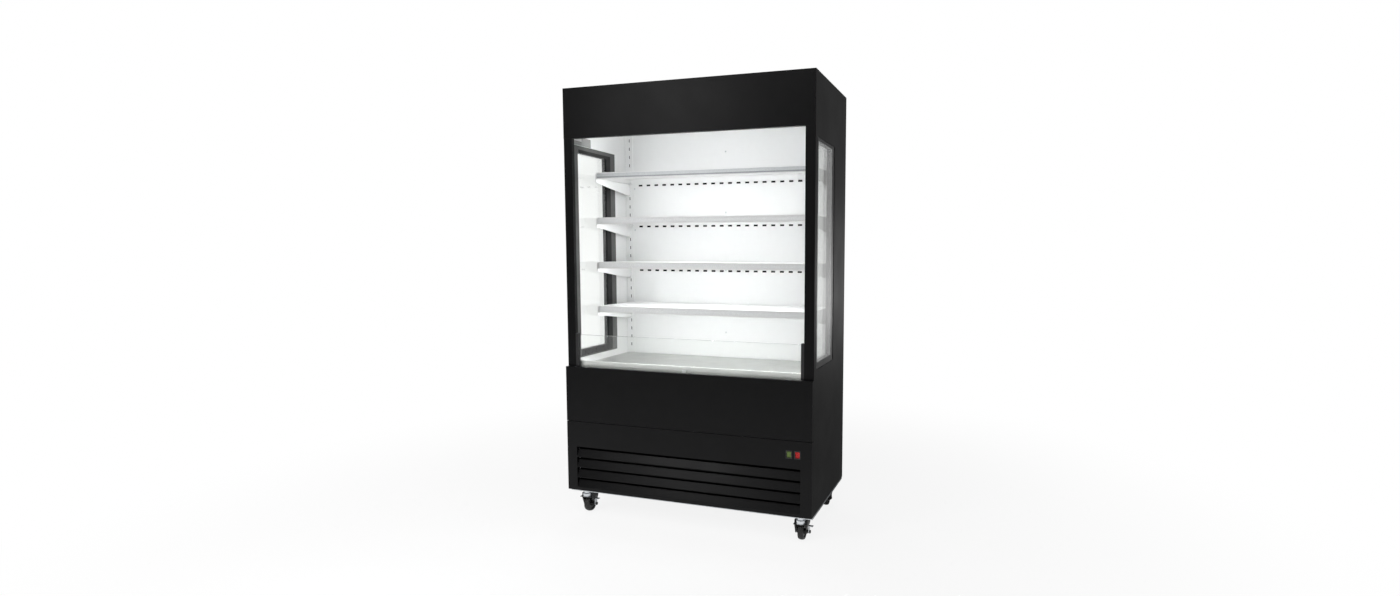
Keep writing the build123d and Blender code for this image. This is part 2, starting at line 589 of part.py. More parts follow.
# ---- Shelf brackets, two for each shelf, hooked into the uprights ----
SLOT_WALL = UPRIGHT_Y + PLATE
with BuildPart() as shelf_brackets:
    for shelf_z in SHELF_Z:
        for sign in (-1, 1):
            nose = SHELF_Y + BRACKET_START
            with BuildSketch(facing_right(sign * SLOT_X)):
                with BuildLine():
                    Polyline((nose, shelf_z - BRACKET_TOP), (UPRIGHT_Y, shelf_z - BRACKET_TOP),
                             (UPRIGHT_Y, shelf_z - BRACKET_REAR), (UPRIGHT_Y - TUB_WALL, shelf_z - BRACKET_REAR),
                             (nose, shelf_z - BRACKET_FRONT), close=True)
                make_face()
                # Hooks: a tongue through each slot with a lip behind the wall.
                for k in (0, 1):
                    hook_z = shelf_z - SLOT_DROP - k * SLOT_PITCH
                    tall = SLOT[1] / 2 - HOOK_CLEARANCE
                    window((UPRIGHT_Y, hook_z), (UPRIGHT_Y + HOOK_DEPTH, hook_z + tall))
                    window((SLOT_WALL + HOOK_CLEARANCE / 2, hook_z - tall), (UPRIGHT_Y + HOOK_DEPTH, hook_z))
            extrude(amount=BRACKET / 2, both=True)
            # Ledge under the shelf's folded edge.
            ledge_x = sorted((sign * (SLOT_X - BRACKET / 2), sign * (SLOT_X - BRACKET_LEDGE)))
            ledge_z = shelf_z - SHELF_EDGE
            block(ledge_x, (nose, UPRIGHT_Y), (ledge_z - PLATE, ledge_z))
write(shelf_brackets, "shelf_brackets")

# ---- Shelves and their light battens ----
for number, shelf_z in enumerate(SHELF_Z, start=1):
    with BuildPart() as shelf:
        rail_back = SHELF_Y + RAIL_DEPTH
        block((-SHELF_HALF, SHELF_HALF), (rail_back, SHELF_BACK), (shelf_z - SHELF_EDGE, shelf_z))
        offset(amount=-SHEET, openings=faces().sort_by(Axis.Z)[0])
        # Price rail: a channel that leans back and holds the labels behind its lips.
        with BuildSketch(facing_right(-SHELF_HALF)):
            with BuildLine():
                Polyline((rail_back, shelf_z), (SHELF_Y + RAIL_LEAN, shelf_z),
                         (SHELF_Y + RAIL_LEAN, shelf_z - 3 * SHEET),
                         (SHELF_Y + 2 * RAIL_LEAN, shelf_z - 3 * SHEET),
                         (SHELF_Y + 1.5 * RAIL_LEAN, shelf_z - RAIL_HEIGHT + 3 * SHEET),
                         (SHELF_Y, shelf_z - RAIL_HEIGHT + 3 * SHEET),
                         (SHELF_Y, shelf_z - RAIL_HEIGHT), (rail_back, shelf_z - RAIL_HEIGHT), close=True)
            make_face()
        extrude(amount=2 * SHELF_HALF)
    write(shelf, f"shelf_{number}")

    with BuildPart() as shelf_light:
        light_y = SHELF_Y + RAIL_DEPTH + SHEET + LIGHT_SET_BACK
        under = shelf_z - SHEET
        with BuildSketch(facing_right(-LIGHT_LENGTH / 2)):
            with BuildLine():
                Polyline((light_y, under), (light_y + LIGHT[0], under),
                         (light_y + LIGHT[0], under - LIGHT[1]))
                ThreePointArc((light_y + LIGHT[0], under - LIGHT[1]),
                              (light_y + LIGHT[0] / 2, under - 1.5 * LIGHT[1]), (light_y, under - LIGHT[1]))
                Line((light_y, under - LIGHT[1]), (light_y, under))
            make_face()
        extrude(amount=LIGHT_LENGTH)
    write(shelf_light, f"shelf_light_{number}")

# ---- Deck pan and the return air grille before it ----
with BuildPart() as deck_pan:
    deck_half = LINER_X - DECK_SIDE_GAP
    block((-deck_half, deck_half), (FACE + DECK_FRONT, UPRIGHT_Y - DECK_BACK_GAP), (LEDGE_Z, DECK_Z))
    offset(amount=-SHEET, openings=faces().sort_by(Axis.Z)[0])
write(deck_pan, "deck_pan")

with BuildPart() as return_air_grille:
    slope_back = FACE + DECK_FRONT - DECK_GAP
    slope_front = FACE + GRILLE_FRONT + GRILLE_LIP
    lip_z = DECK_Z + GRILLE_RISE
    bent_sheet([(slope_back, LEDGE_Z), (slope_back, DECK_Z), (slope_front, lip_z),
                (FACE + GRILLE_FRONT, lip_z), (FACE + GRILLE_FRONT, RIM_Z)], SHEET, LINER_X)
    slope = Plane(origin=(0, (slope_back + slope_front) / 2, (DECK_Z + lip_z) / 2), x_dir=(1, 0, 0),
                  z_dir=(0, lip_z - DECK_Z, slope_back - slope_front))
    with BuildSketch(slope):
        with GridLocations(1.5 * GRILLE_SLOT[0], 1, GRILLE_SLOTS, 1):
            Rectangle(*GRILLE_SLOT)
    extrude(amount=GRILLE_RISE / 3, both=True, mode=Mode.SUBTRACT)
write(return_air_grille, "return_air_grille")

# ---- Glass riser, its end posts and the middle clip ----
riser_y = (FACE + RISER_SET_BACK, FACE + RISER_SET_BACK + RISER_GLASS)
riser_half = POST_X - RISER_POST[0] + RISER_GROOVE - RISER_PLAY
with BuildPart() as glass_riser:
    block((-riser_half, riser_half), riser_y, (RISER_Z, SILL_Z + RISER_HEIGHT))
    fillet(edges().filter_by(Axis.X).group_by(Axis.Z)[-1], RISER_GLASS / 4)
write(glass_riser, "glass_riser")

with BuildPart() as glass_end_posts:
    for sign in (-1, 1):
        post_x = sorted((sign * (POST_X - RISER_POST[0]), sign * POST_X))
        block(post_x, (FACE, FACE + RISER_POST[1]), (RIM_Z, SILL_Z + RISER_HEIGHT + RISER_POST_RISE))
    for sign in (-1, 1):
        groove_x = sorted((0, sign * (riser_half + RISER_PLAY)))
        block(groove_x, (riser_y[0] - RISER_PLAY, riser_y[1] + RISER_PLAY), (RISER_Z, HEIGHT),
              mode=Mode.SUBTRACT)
write(glass_end_posts, "glass_end_posts")

with BuildPart() as glass_clip:
    block((-CLIP_WIDTH / 2, CLIP_WIDTH / 2),
          (riser_y[0] - RISER_PLAY - CLIP_WALL, riser_y[1] + RISER_PLAY + CLIP_WALL),
          (RIM_Z, SILL_Z + CLIP_RISE))
    block((-CLIP_WIDTH, CLIP_WIDTH), (riser_y[0] - RISER_PLAY, riser_y[1] + RISER_PLAY),
          (RISER_Z, SILL_Z + RISER_HEIGHT), mode=Mode.SUBTRACT)
write(glass_clip, "glass_clip")


# ---- Refrigeration ----
def finned_block(x, y, z, tall_plates):
    """Coil: a solid core with fins that stand a little proud, and end plates down to a foot."""
    rim = 3 * FIN
    block(x, (y[0] + rim, y[1] - rim), (z[0] + rim, z[1] - rim))
    count = int((x[1] - x[0]) // FIN_PITCH)
    for k in range(count):
        fin_x = (x[0] + x[1]) / 2 + (k - (count - 1) / 2) * FIN_PITCH
        block((fin_x - FIN / 2, fin_x + FIN / 2), y, z)
    for end in x:
        block((end - FIN, end + FIN), y, (tall_plates, z[1]))


def disc(centre, y, radius, bore=0.0):
    """Round face about a centre, on the front-facing plane at depth y."""
    with BuildSketch(facing_front(y)) as face:
        with Locations((centre[0], centre[2])):
            Circle(radius)
            if bore:
                Circle(bore, mode=Mode.SUBTRACT)
    return face.sketch


def fan_wheel(centre, depth, radius, blades, hub):
    """Axial fan: hub with a shaft bore and pitched blades, turning about Y."""
    extrude(disc(centre, centre[1] + depth / 2, hub, FAN_SHAFT + RUNNING_FIT), amount=depth)
    for k in range(blades):
        turn = math.radians(360.0 * k / blades)
        radial = Plane(origin=centre, x_dir=(0, 1, 0), z_dir=(math.cos(turn), 0, math.sin(turn)))
        with BuildSketch(radial.offset(hub - PLATE)) as root:
            Rectangle(PLATE, 1.2 * depth, rotation=BLADE_PITCH)
        with BuildSketch(radial.offset(radius)) as tip:
            Rectangle(PLATE / 2, 2.0 * depth, rotation=BLADE_PITCH + BLADE_TWIST)
        loft([root.sketch.face(), tip.sketch.face()])


def fan_mount(centre, plate_y, radius, motor):
    """Round opening in a plate with spokes, a motor behind it and the shaft in front."""
    extrude(disc(centre, plate_y + PLATE, radius), amount=PLATE, mode=Mode.SUBTRACT)
    with BuildSketch(facing_front(plate_y + PLATE)) as spokes:
        with Locations((centre[0], centre[2])):
            Rectangle(2 * radius + 4 * PLATE, 5 * PLATE)
            Rectangle(5 * PLATE, 2 * radius + 4 * PLATE)
    extrude(spokes.sketch, amount=PLATE)
    extrude(disc(centre, plate_y + PLATE + motor, 0.6 * motor), amount=motor)
    extrude(disc(centre, plate_y, FAN_SHAFT), amount=FAN_GAP + FAN_DEPTH)


condenser_x = (-INNER_X + CONDENSER_LEFT, -INNER_X + CONDENSER_LEFT + CONDENSER[0])
condenser_y = (FACE + CONDENSER_FRONT, FACE + CONDENSER_FRONT + CONDENSER[1])
condenser_z = (FLOOR_Z + CONDENSER_FOOT, FLOOR_Z + CONDENSER_FOOT + CONDENSER[2])
with BuildPart() as condenser_coil:
    finned_block(condenser_x, condenser_y, condenser_z, FLOOR_Z)
write(condenser_coil, "condenser_coil")

shroud_plate = condenser_y[1] + SHROUD_DEPTH
condenser_hub = (sum(condenser_x) / 2, shroud_plate - FAN_GAP - FAN_DEPTH / 2, sum(condenser_z) / 2)
with BuildPart() as condenser_fan_shroud:
    block(condenser_x, (condenser_y[1], shroud_plate + PLATE), (FLOOR_Z, condenser_z[1]))
    offset(amount=-PLATE, openings=faces().sort_by(Axis.Y)[0])
    fan_mount(condenser_hub, shroud_plate, CONDENSER_FAN + FAN_TIP_GAP, CONDENSER_MOTOR)
write(condenser_fan_shroud, "condenser_fan_shroud")

with BuildPart() as condenser_fan:
    fan_wheel(condenser_hub, FAN_DEPTH, CONDENSER_FAN, FAN_BLADES, CONDENSER_HUB)
write(condenser_fan, "condenser_fan")

evaporator_x = (EVAPORATOR_SHIFT - EVAPORATOR[0] / 2, EVAPORATOR_SHIFT + EVAPORATOR[0] / 2)
evaporator_y = (FACE + EVAPORATOR_FRONT, FACE + EVAPORATOR_FRONT + EVAPORATOR[1])
evaporator_z = (WELL_Z + PLATE, WELL_Z + PLATE + EVAPORATOR[2])
with BuildPart() as evaporator_coil:
    finned_block(evaporator_x, evaporator_y, evaporator_z, WELL_Z)
write(evaporator_coil, "evaporator_coil")

fan_plate_y = FACE + FAN_DECK_FRONT
fan_hub_z = WELL_Z + EVAPORATOR[2] / 2 + 6 * PLATE
fan_hubs = [(x, fan_plate_y - FAN_GAP - FAN_DEPTH / 2, fan_hub_z) for x in (-EVAPORATOR_FAN_X, EVAPORATOR_FAN_X)]
with BuildPart() as evaporator_fan_deck:
    block((-LINER_X, LINER_X), (fan_plate_y, fan_plate_y + PLATE), (WELL_Z, LEDGE_Z - 2 * PLATE))
    block((-LINER_X, LINER_X), (fan_plate_y, fan_plate_y + LEDGE), (LEDGE_Z - 3 * PLATE, LEDGE_Z - 2 * PLATE))
    for hub_point in fan_hubs:
        fan_mount(hub_point, fan_plate_y, EVAPORATOR_FAN + FAN_TIP_GAP, EVAPORATOR_MOTOR)
write(evaporator_fan_deck, "evaporator_fan_deck")

for (side, sign), hub_point in zip(SIDES, fan_hubs):
    with BuildPart() as evaporator_fan:
        fan_wheel(hub_point, FAN_DEPTH, EVAPORATOR_FAN, FAN_BLADES, EVAPORATOR_HUB)
    write(evaporator_fan, f"evaporator_fan_{side}")

# Compressor: welded shell on a footed plate, with its terminal box and pipe stubs.
compressor_xy = (COMPRESSOR_AT[0], FACE + COMPRESSOR_AT[1])
plate_z = FLOOR_Z + GROMMET
shell_z = plate_z + 2 * PLATE
stub_top = shell_z + COMPRESSOR_HEIGHT + STUB_RISE
suction_x = compressor_xy[0] + COMPRESSOR_RADIUS / 2
discharge_x = compressor_xy[0] - COMPRESSOR_RADIUS / 2
with BuildPart() as compressor:
    shell_plane = Plane(origin=(*compressor_xy, shell_z), x_dir=(1, 0, 0), z_dir=(0, -1, 0))
    with BuildSketch(shell_plane):
        r, h = COMPRESSOR_RADIUS, COMPRESSOR_HEIGHT
        with BuildLine():
            Polyline((0, 0), (r - 20, 0), (r, 20), (r, h * 0.52), (r + 4, h * 0.52), (r + 4, h * 0.58),
                     (r, h * 0.58), (r, h - 40))
            ThreePointArc((r, h - 40), (r * 0.74, h - 10), (r / 4, h))
            Polyline((r / 4, h), (0, h), (0, 0))
        make_face()
    revolve(axis=Axis(origin=(*compressor_xy, shell_z), direction=(0, 0, 1)))
    with BuildSketch(Plane.XY.offset(plate_z)):
        with Locations(compressor_xy):
            RectangleRounded(2.5 * COMPRESSOR_RADIUS, 1.9 * COMPRESSOR_RADIUS, 14)
    extrude(amount=2 * PLATE)
    with BuildSketch(Plane.XY.offset(FLOOR_Z)):
        with Locations(compressor_xy):
            with GridLocations(2.15 * COMPRESSOR_RADIUS, 1.55 * COMPRESSOR_RADIUS, 2, 2):
                Circle(FOOT_RADIUS)
    extrude(amount=GROMMET)
    block((compressor_xy[0] + r - STUB, compressor_xy[0] + r + TERMINAL_BOX[1]),
          (compressor_xy[1] - TERMINAL_BOX[0] / 2, compressor_xy[1] + TERMINAL_BOX[0] / 2),
          (shell_z + TERMINAL_BOX_FOOT, shell_z + TERMINAL_BOX_FOOT + TERMINAL_BOX[2]))
    with BuildSketch(Plane.XY.offset(shell_z + COMPRESSOR_HEIGHT - 40)):
        with Locations((suction_x, compressor_xy[1]), (discharge_x, compressor_xy[1])):
            Circle(STUB)
    extrude(amount=stub_top - shell_z - COMPRESSOR_HEIGHT + 40)
write(compressor, "compressor")

with BuildPart() as condensate_tray:
    tray_xy = (TRAY_AT[0], BACK - TRAY_AT[1])
    with Locations((*tray_xy, FLOOR_Z + TRAY_SIZE[2] / 2)):
        Box(*TRAY_SIZE)
    fillet(edges().filter_by(Axis.Z), 12)
    offset(amount=-PLATE, openings=faces().sort_by(Axis.Z)[-1])
write(condensate_tray, "condensate_tray")

with BuildPart() as control_box:
    box_x = (INNER_X - CONTROL_BOX[0], INNER_X)
    box_y = (FACE + CONTROL_BOX_FRONT, FACE + CONTROL_BOX_FRONT + CONTROL_BOX[1])
    box_z = (TUB_Z - CONTROL_BOX_DROP - CONTROL_BOX[2], TUB_Z - CONTROL_BOX_DROP)
    block(box_x, box_y, box_z)
    fillet(edges().filter_by(Axis.Z), 5)
    # Lid line and three cable entries on its underside.
    with BuildSketch(Plane.XY.offset(box_z[0] - 10)):
        with Locations((sum(box_x) / 2, sum(box_y) / 2)):
            with GridLocations(CABLE_SPACING, 1, 3, 1):
                Circle(CABLE_ENTRY)
    extrude(amount=10)
write(control_box, "control_box")


def tube(points, radius, bend):
    """Tube of solid section along straight runs joined by tangent arcs."""
    with BuildLine() as route:
        FilletPolyline(*points, radius=bend)
    with BuildSketch(Plane(origin=route.line @ 0, z_dir=route.line % 0)) as section:
        Circle(radius)
    sweep(section.sketch, path=route.line)


with BuildPart() as refrigerant_pipes:
    # Suction line: evaporator end plate, down through the tub, to the compressor.
    evaporator_end = evaporator_x[1] + FIN
    suction, liquid = PIPE_HOLES
    tube([(evaporator_end, suction[1], WELL_Z + SUCTION_PORT), (*suction, WELL_Z + SUCTION_PORT),
          (*suction, stub_top + SUCTION_LOOP), (suction_x, compressor_xy[1], stub_top + SUCTION_LOOP),
          (suction_x, compressor_xy[1], stub_top)], PIPE, PIPE_BEND)
    # Discharge line: compressor to the top of the condenser's end plate.
    condenser_end = condenser_x[1] + FIN
    port_y = condenser_y[1] - CONDENSER_PORT_BACK
    upper_port, lower_port = condenser_z[1] - CONDENSER_PORT_TOP, condenser_z[0] + CONDENSER_PORT_FOOT
    tube([(discharge_x, compressor_xy[1], stub_top), (discharge_x, compressor_xy[1], stub_top + DISCHARGE_RISE),
          (condenser_end + DISCHARGE_REACH, port_y, upper_port), (condenser_end, port_y, upper_port)],
         DISCHARGE_PIPE, PIPE_BEND)
    # Liquid line: foot of the condenser, up through the tub, to the evaporator.
    tube([(condenser_end, port_y, lower_port), (liquid[0], port_y, lower_port),
          (*liquid, lower_port + LIQUID_RISE), (*liquid, WELL_Z + LIQUID_PORT),
          (evaporator_end, liquid[1], WELL_Z + LIQUID_PORT)], LIQUID_PIPE, PIPE_BEND)
    # Drain from the tub to the condensate tray.
    with BuildSketch(Plane.XY.offset(FLOOR_Z + TRAY_SIZE[2] / 2)):
        with Locations(DRAIN_AT):
            Circle(DRAIN)
            Circle(DRAIN - PLATE, mode=Mode.SUBTRACT)
    extrude(amount=WELL_Z - FLOOR_Z - TRAY_SIZE[2] / 2)
write(refrigerant_pipes, "refrigerant_pipes")

# ---- Screws: back panel, and rear vent cover ----
with BuildPart() as panel_screws:
    middle_heights = [ROOF_Z - TOP_SCREW, SHELF_Z[1] + SCREW_OVER_SHELF, SHELF_Z[2] - SCREW_UNDER_SHELF,
                      SILL_Z + DECK_SCREW]
    beside = [(sign * (UPRIGHT_X - SIDE_SCREW_INSET), z - SIDE_SCREW_DROP) for sign in (-1, 1) for z in SHELF_Z[:2]]
    inside_points = [(0, z) for z in middle_heights] + beside
    cover_x = INNER_X - COVER_SCREW_INSET
    rear_points = [(x, z) for x in (-cover_x, -INNER_X / 3, INNER_X / 3, cover_x)
                   for z in (PANEL_BOTTOM + COVER_SCREW_INSET, REAR_COVER_Z - COVER_SCREW_INSET)]
    with BuildSketch(facing_front(DUCT_Y)):
        with Locations(*inside_points):
            Circle(SCREW_HEAD)
    extrude(amount=SCREW_RISE, taper=20)
    with BuildSketch(facing_front(BACK - SCREW_RISE)):
        with Locations(*rear_points):
            Circle(SCREW_HEAD)
    extrude(amount=-SCREW_RISE, taper=20)
write(panel_screws, "panel_screws")

# ---- Castors ----
castor_points = [("front_left", -CASTOR_X, FACE + CASTOR_FRONT), ("front_right", CASTOR_X, FACE + CASTOR_FRONT),
                 ("rear_left", -CASTOR_X, BACK - CASTOR_REAR), ("rear_right", CASTOR_X, BACK - CASTOR_REAR)]
NECK_Z = CHASSIS_Z - CASTOR_PLATE_THICK - NECK_HEIGHT
RACEWAY_Z = NECK_Z - RACEWAY_HEIGHT
CROWN_TOP = RACEWAY_Z - SWIVEL_GAP
CROWN_LOW = CROWN_TOP - FORK_SHEET
KINGPIN_LOW = CROWN_LOW - 2 * SWIVEL_GAP

with BuildPart() as castor_plates:
    for _, castor_x, castor_y in castor_points:
        with BuildSketch(Plane.XY.offset(CHASSIS_Z - CASTOR_PLATE_THICK)):
            with Locations((castor_x, castor_y)):
                RectangleRounded(CASTOR_PLATE, CASTOR_PLATE, 6)
                with GridLocations(BOLT_SPACING, BOLT_SPACING, 2, 2):
                    Circle(BOLT_HOLE, mode=Mode.SUBTRACT)
        extrude(amount=CASTOR_PLATE_THICK)
        with BuildSketch(Plane.XY.offset(RACEWAY_Z)):
            with Locations((castor_x, castor_y)):
                Circle(RACEWAY_RADIUS)
        extrude(amount=RACEWAY_HEIGHT)
        fillet(edges().filter_by(GeomType.CIRCLE).filter_by(lambda e: abs(e.radius - RACEWAY_RADIUS) < RUNNING_FIT),
               RACEWAY_HEIGHT / 6)
        with BuildSketch(Plane.XY.offset(NECK_Z)):
            with Locations((castor_x, castor_y)):
                Circle(NECK_RADIUS)
        extrude(amount=NECK_HEIGHT)
        with BuildSketch(Plane.XY.offset(KINGPIN_LOW)):
            with Locations((castor_x, castor_y)):
                Circle(KINGPIN)
        extrude(amount=RACEWAY_Z - KINGPIN_LOW)
write(castor_plates, "castor_plates")

LEG_OUT = FORK_INSIDE / 2 + FORK_SHEET
EAR_OUT = LEG_OUT + FORK_SHOULDER
for place, castor_x, castor_y in castor_points:
    axle_y = castor_y + TRAIL
    axle_z = WHEEL_RADIUS
    braked = place.startswith("front")
    nut_x = EAR_OUT + PEDAL_SHEET + 2 * SWIVEL_GAP if braked else LEG_OUT
    leg_back = axle_y + FORK_TOP_DEPTH / 2
    leg_front = axle_y - FORK_TOP_DEPTH / 2
    with BuildPart() as castor_fork:
        # Legs folded from one strip: ears beside the raceway, shoulders, then straight to the feet.
        for sign in (-1, 1):
            outline = [(EAR_OUT, CROWN_TOP + FORK_EAR), (EAR_OUT, CROWN_LOW - FORK_SHEET),
                       (LEG_OUT, axle_z + FORK_FOOT), (LEG_OUT, axle_z - FORK_FOOT)]
            inner = [(x - FORK_SHEET, z) for x, z in reversed(outline)]
            with BuildSketch(facing_front(leg_back)) as leg:
                with BuildLine():
                    Polyline(*[(castor_x + sign * x, z) for x, z in outline + inner], close=True)
                make_face()
            extrude(leg.sketch, amount=leg_back - leg_front)
        # Side profile of both legs: it tapers to round feet at the axle.
        with BuildSketch(facing_right(castor_x - EAR_OUT)) as profile:
            with BuildLine():
                Polyline((leg_front, CROWN_TOP + FORK_EAR), (leg_back, CROWN_TOP + FORK_EAR),
                         (leg_back, CROWN_LOW - FORK_FOOT), (axle_y + FORK_FOOT, axle_z),
                         (axle_y - FORK_FOOT, axle_z), (leg_front, CROWN_LOW - FORK_FOOT), close=True)
            make_face()
            with Locations((axle_y, axle_z)):
                Circle(FORK_FOOT)
        extrude(profile.sketch, amount=2 * EAR_OUT, mode=Mode.INTERSECT)
        # Crown: the seat under the raceway, between the two legs.
        with BuildSketch(Plane.XY.offset(CROWN_LOW)):
            window((castor_x - EAR_OUT, castor_y - CROWN_FRONT), (castor_x + EAR_OUT, leg_back))
            with Locations((castor_x, castor_y)):
                Circle(KINGPIN + RUNNING_FIT, mode=Mode.SUBTRACT)
        extrude(amount=FORK_SHEET)
        # Axle with its head and nut outside the legs.
        with BuildSketch(facing_right(castor_x - LEG_OUT)):
            with Locations((axle_y, axle_z)):
                Circle(AXLE)
        extrude(amount=LEG_OUT + nut_x)
        if braked:
            # Spacer that holds the brake lever clear of the shoulder.
            with BuildSketch(facing_right(castor_x + LEG_OUT)):
                with Locations((axle_y, axle_z)):
                    Circle(1.8 * AXLE)
            extrude(amount=FORK_SHOULDER)
        with BuildSketch(facing_right(castor_x - LEG_OUT)):
            with Locations((axle_y, axle_z)):
                Circle(1.7 * AXLE)
        extrude(amount=-0.7 * AXLE_END)
        with BuildSketch(facing_right(castor_x + nut_x)):
            with Locations((axle_y, axle_z)):
                RegularPolygon(1.8 * AXLE, 6)
        extrude(amount=AXLE_END)
    write(castor_fork, f"castor_fork_{place}")

    with BuildPart() as castor_wheel:
        half = WHEEL_WIDTH / 2
        hub_half = FORK_INSIDE / 2 - SWIVEL_GAP
        wheel_plane = Plane(origin=(castor_x, axle_y, axle_z), x_dir=(1, 0, 0), z_dir=(0, -1, 0))
        with BuildSketch(wheel_plane):
            with BuildLine():
                bore = AXLE + RUNNING_FIT
                web = WHEEL_RADIUS - 2 * TREAD
                Polyline((-hub_half, bore), (hub_half, bore), (hub_half, 2.4 * AXLE), (half / 2, 3 * AXLE),
                         (half / 2, web), (half - 1, web), (half, web + 2), (half, WHEEL_RADIUS - TREAD / 2))
                ThreePointArc((half, WHEEL_RADIUS - TREAD / 2), (0, WHEEL_RADIUS),
                              (-half, WHEEL_RADIUS - TREAD / 2))
                Polyline((-half, WHEEL_RADIUS - TREAD / 2), (-half, web + 2), (-half + 1, web),
                         (-half / 2, web), (-half / 2, 3 * AXLE), (-hub_half, 2.4 * AXLE), (-hub_half, bore))
            make_face()
        revolve(axis=Axis(origin=(castor_x, axle_y, axle_z), direction=(1, 0, 0)))
    write(castor_wheel, f"castor_wheel_{place}")

    if braked:
        lever_x = castor_x + EAR_OUT + SWIVEL_GAP
        with BuildPart() as castor_pedal:
            # Arm of the brake lever, turning on the axle outside the leg.
            with BuildSketch(facing_right(lever_x)):
                with BuildLine():
                    Polyline((axle_y - PEDAL_TREAD / 2, axle_z + PEDAL_REACH),
                             (axle_y - 0.8 * FORK_FOOT, axle_z), (axle_y + 0.8 * FORK_FOOT, axle_z),
                             (axle_y + PEDAL_TREAD / 2, axle_z + PEDAL_REACH), close=True)
                make_face()
                with Locations((axle_y, axle_z)):
                    Circle(0.8 * FORK_FOOT)
                    Circle(AXLE + RUNNING_FIT, mode=Mode.SUBTRACT)
            extrude(amount=PEDAL_SHEET)
            # Tread that sticks out sideways.
            block((lever_x, castor_x + EAR_OUT + PEDAL_OUT),
                  (axle_y - PEDAL_TREAD / 2, axle_y + PEDAL_TREAD / 2),
                  (axle_z + PEDAL_REACH - PEDAL_SHEET, axle_z + PEDAL_REACH))
        write(castor_pedal, f"castor_pedal_{place}")

print("shelf tops", SHELF_Z, "slots", SLOTS_ABOVE + SLOTS_BELOW + 1)
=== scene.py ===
"""Looks of an open multideck display fridge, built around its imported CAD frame.

Every length is in metres. The cabinet stands on the floor about the origin, and its open front
faces -Y. The CAD nodes carry the main shapes; the classes below dress them and add the parts that
a factory fits last: rail covers, lamp channels, fins, seals, screws and castor hardware.
"""

from __future__ import annotations

import json
import logging
import math
from dataclasses import dataclass
from enum import Enum
from typing import Sequence

import bmesh
import bpy
from mathutils import Matrix, Vector

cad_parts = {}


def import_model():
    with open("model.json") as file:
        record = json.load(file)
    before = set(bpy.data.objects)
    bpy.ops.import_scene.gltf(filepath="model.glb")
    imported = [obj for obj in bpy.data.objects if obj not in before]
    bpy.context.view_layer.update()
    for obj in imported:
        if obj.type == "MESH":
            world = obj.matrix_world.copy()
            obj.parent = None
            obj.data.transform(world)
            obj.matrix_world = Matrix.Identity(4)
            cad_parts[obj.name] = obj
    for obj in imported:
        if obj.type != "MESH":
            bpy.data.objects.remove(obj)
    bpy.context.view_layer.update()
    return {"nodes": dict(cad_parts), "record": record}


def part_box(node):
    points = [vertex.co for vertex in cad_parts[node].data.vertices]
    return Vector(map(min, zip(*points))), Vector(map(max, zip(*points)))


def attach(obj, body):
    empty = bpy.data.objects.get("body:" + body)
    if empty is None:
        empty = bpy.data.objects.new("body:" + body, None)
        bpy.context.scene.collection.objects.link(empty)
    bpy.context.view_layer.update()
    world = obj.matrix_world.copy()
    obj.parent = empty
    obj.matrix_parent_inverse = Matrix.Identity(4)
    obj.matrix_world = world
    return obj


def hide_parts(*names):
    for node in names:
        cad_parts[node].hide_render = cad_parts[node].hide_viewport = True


LOG = logging.getLogger("multideck")
ROOT = "cabinet"
MM = 0.001
QUARTER = math.pi / 2

Point = tuple[float, float, float]
Profile = Sequence[tuple[float, float]]
Source = bpy.types.Node | bpy.types.NodeSocket

# Node types and settings that come back often.
MATH, RANGE, NOISE = "ShaderNodeMath", "ShaderNodeMapRange", "ShaderNodeTexNoise"
SMOOTH = {"interpolation_type": "SMOOTHSTEP"}
NOISE_SPAN = {"From Min": 0.35, "From Max": 0.65}       # most of a noise lies between these
PRODUCT_SPAN = {"From Min": 0.12, "From Max": 0.38}     # and most of two noises multiplied, here
UNIT_SPAN = {"From Min": 0.0, "From Max": 1.0}
WHITE = (1.0, 1.0, 1.0, 1.0)
SMOOTH_ANGLE = math.radians(35)                         # flatter edges are shaded smooth
WELD_DISTANCE = 0.01 * MM                               # closer vertices are merged


def linear(code: str) -> tuple[float, float, float, float]:
    """Turn an sRGB hex colour into Blender's linear colour.

    Args:
        code: six hex digits, such as "1b1b1c".

    Returns:
        Linear red, green, blue and an alpha of 1.
    """
    values = [int(code[i : i + 2], 16) / 255 for i in (0, 2, 4)]
    red, green, blue = (v / 12.92 if v <= 0.04045 else ((v + 0.055) / 1.055) ** 2.4 for v in values)
    return red, green, blue, 1.0


def add_node(tree: bpy.types.NodeTree, kind: str, inputs: dict | None = None, **settings: object
             ) -> bpy.types.Node:
    """Add one node with its settings, its values and its links.

    Args:
        tree: the tree that gets the node.
        kind: the node's type name.
        inputs: socket name or number to a value, to an output socket to link from, or to a node,
            whose first enabled output is linked.
        **settings: the node's own properties.

    Returns:
        The new node.
    """
    node = tree.nodes.new(kind)
    for name, value in settings.items():
        setattr(node, name, value)
    for socket, value in (inputs or {}).items():
        if isinstance(value, bpy.types.Node):
            value = next(output for output in value.outputs if output.enabled)
        if isinstance(value, bpy.types.NodeSocket):
            tree.links.new(value, node.inputs[socket])
        else:
            node.inputs[socket].default_value = value
    return node


def corners(node: str) -> tuple[Vector, Vector]:
    """Return the lowest and the highest corner of a CAD node at rest."""
    low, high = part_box(node)
    return Vector(low), Vector(high)


# ---------------------------------------------------------------------------------------------
# Finishes
# ---------------------------------------------------------------------------------------------


@dataclass(frozen=True)
class Ground:
    """What a finish is drawn on."""

    tree: bpy.types.NodeTree
    place: bpy.types.NodeSocket     # object coordinates, in metres
    shader: bpy.types.Node
    output: bpy.types.Node


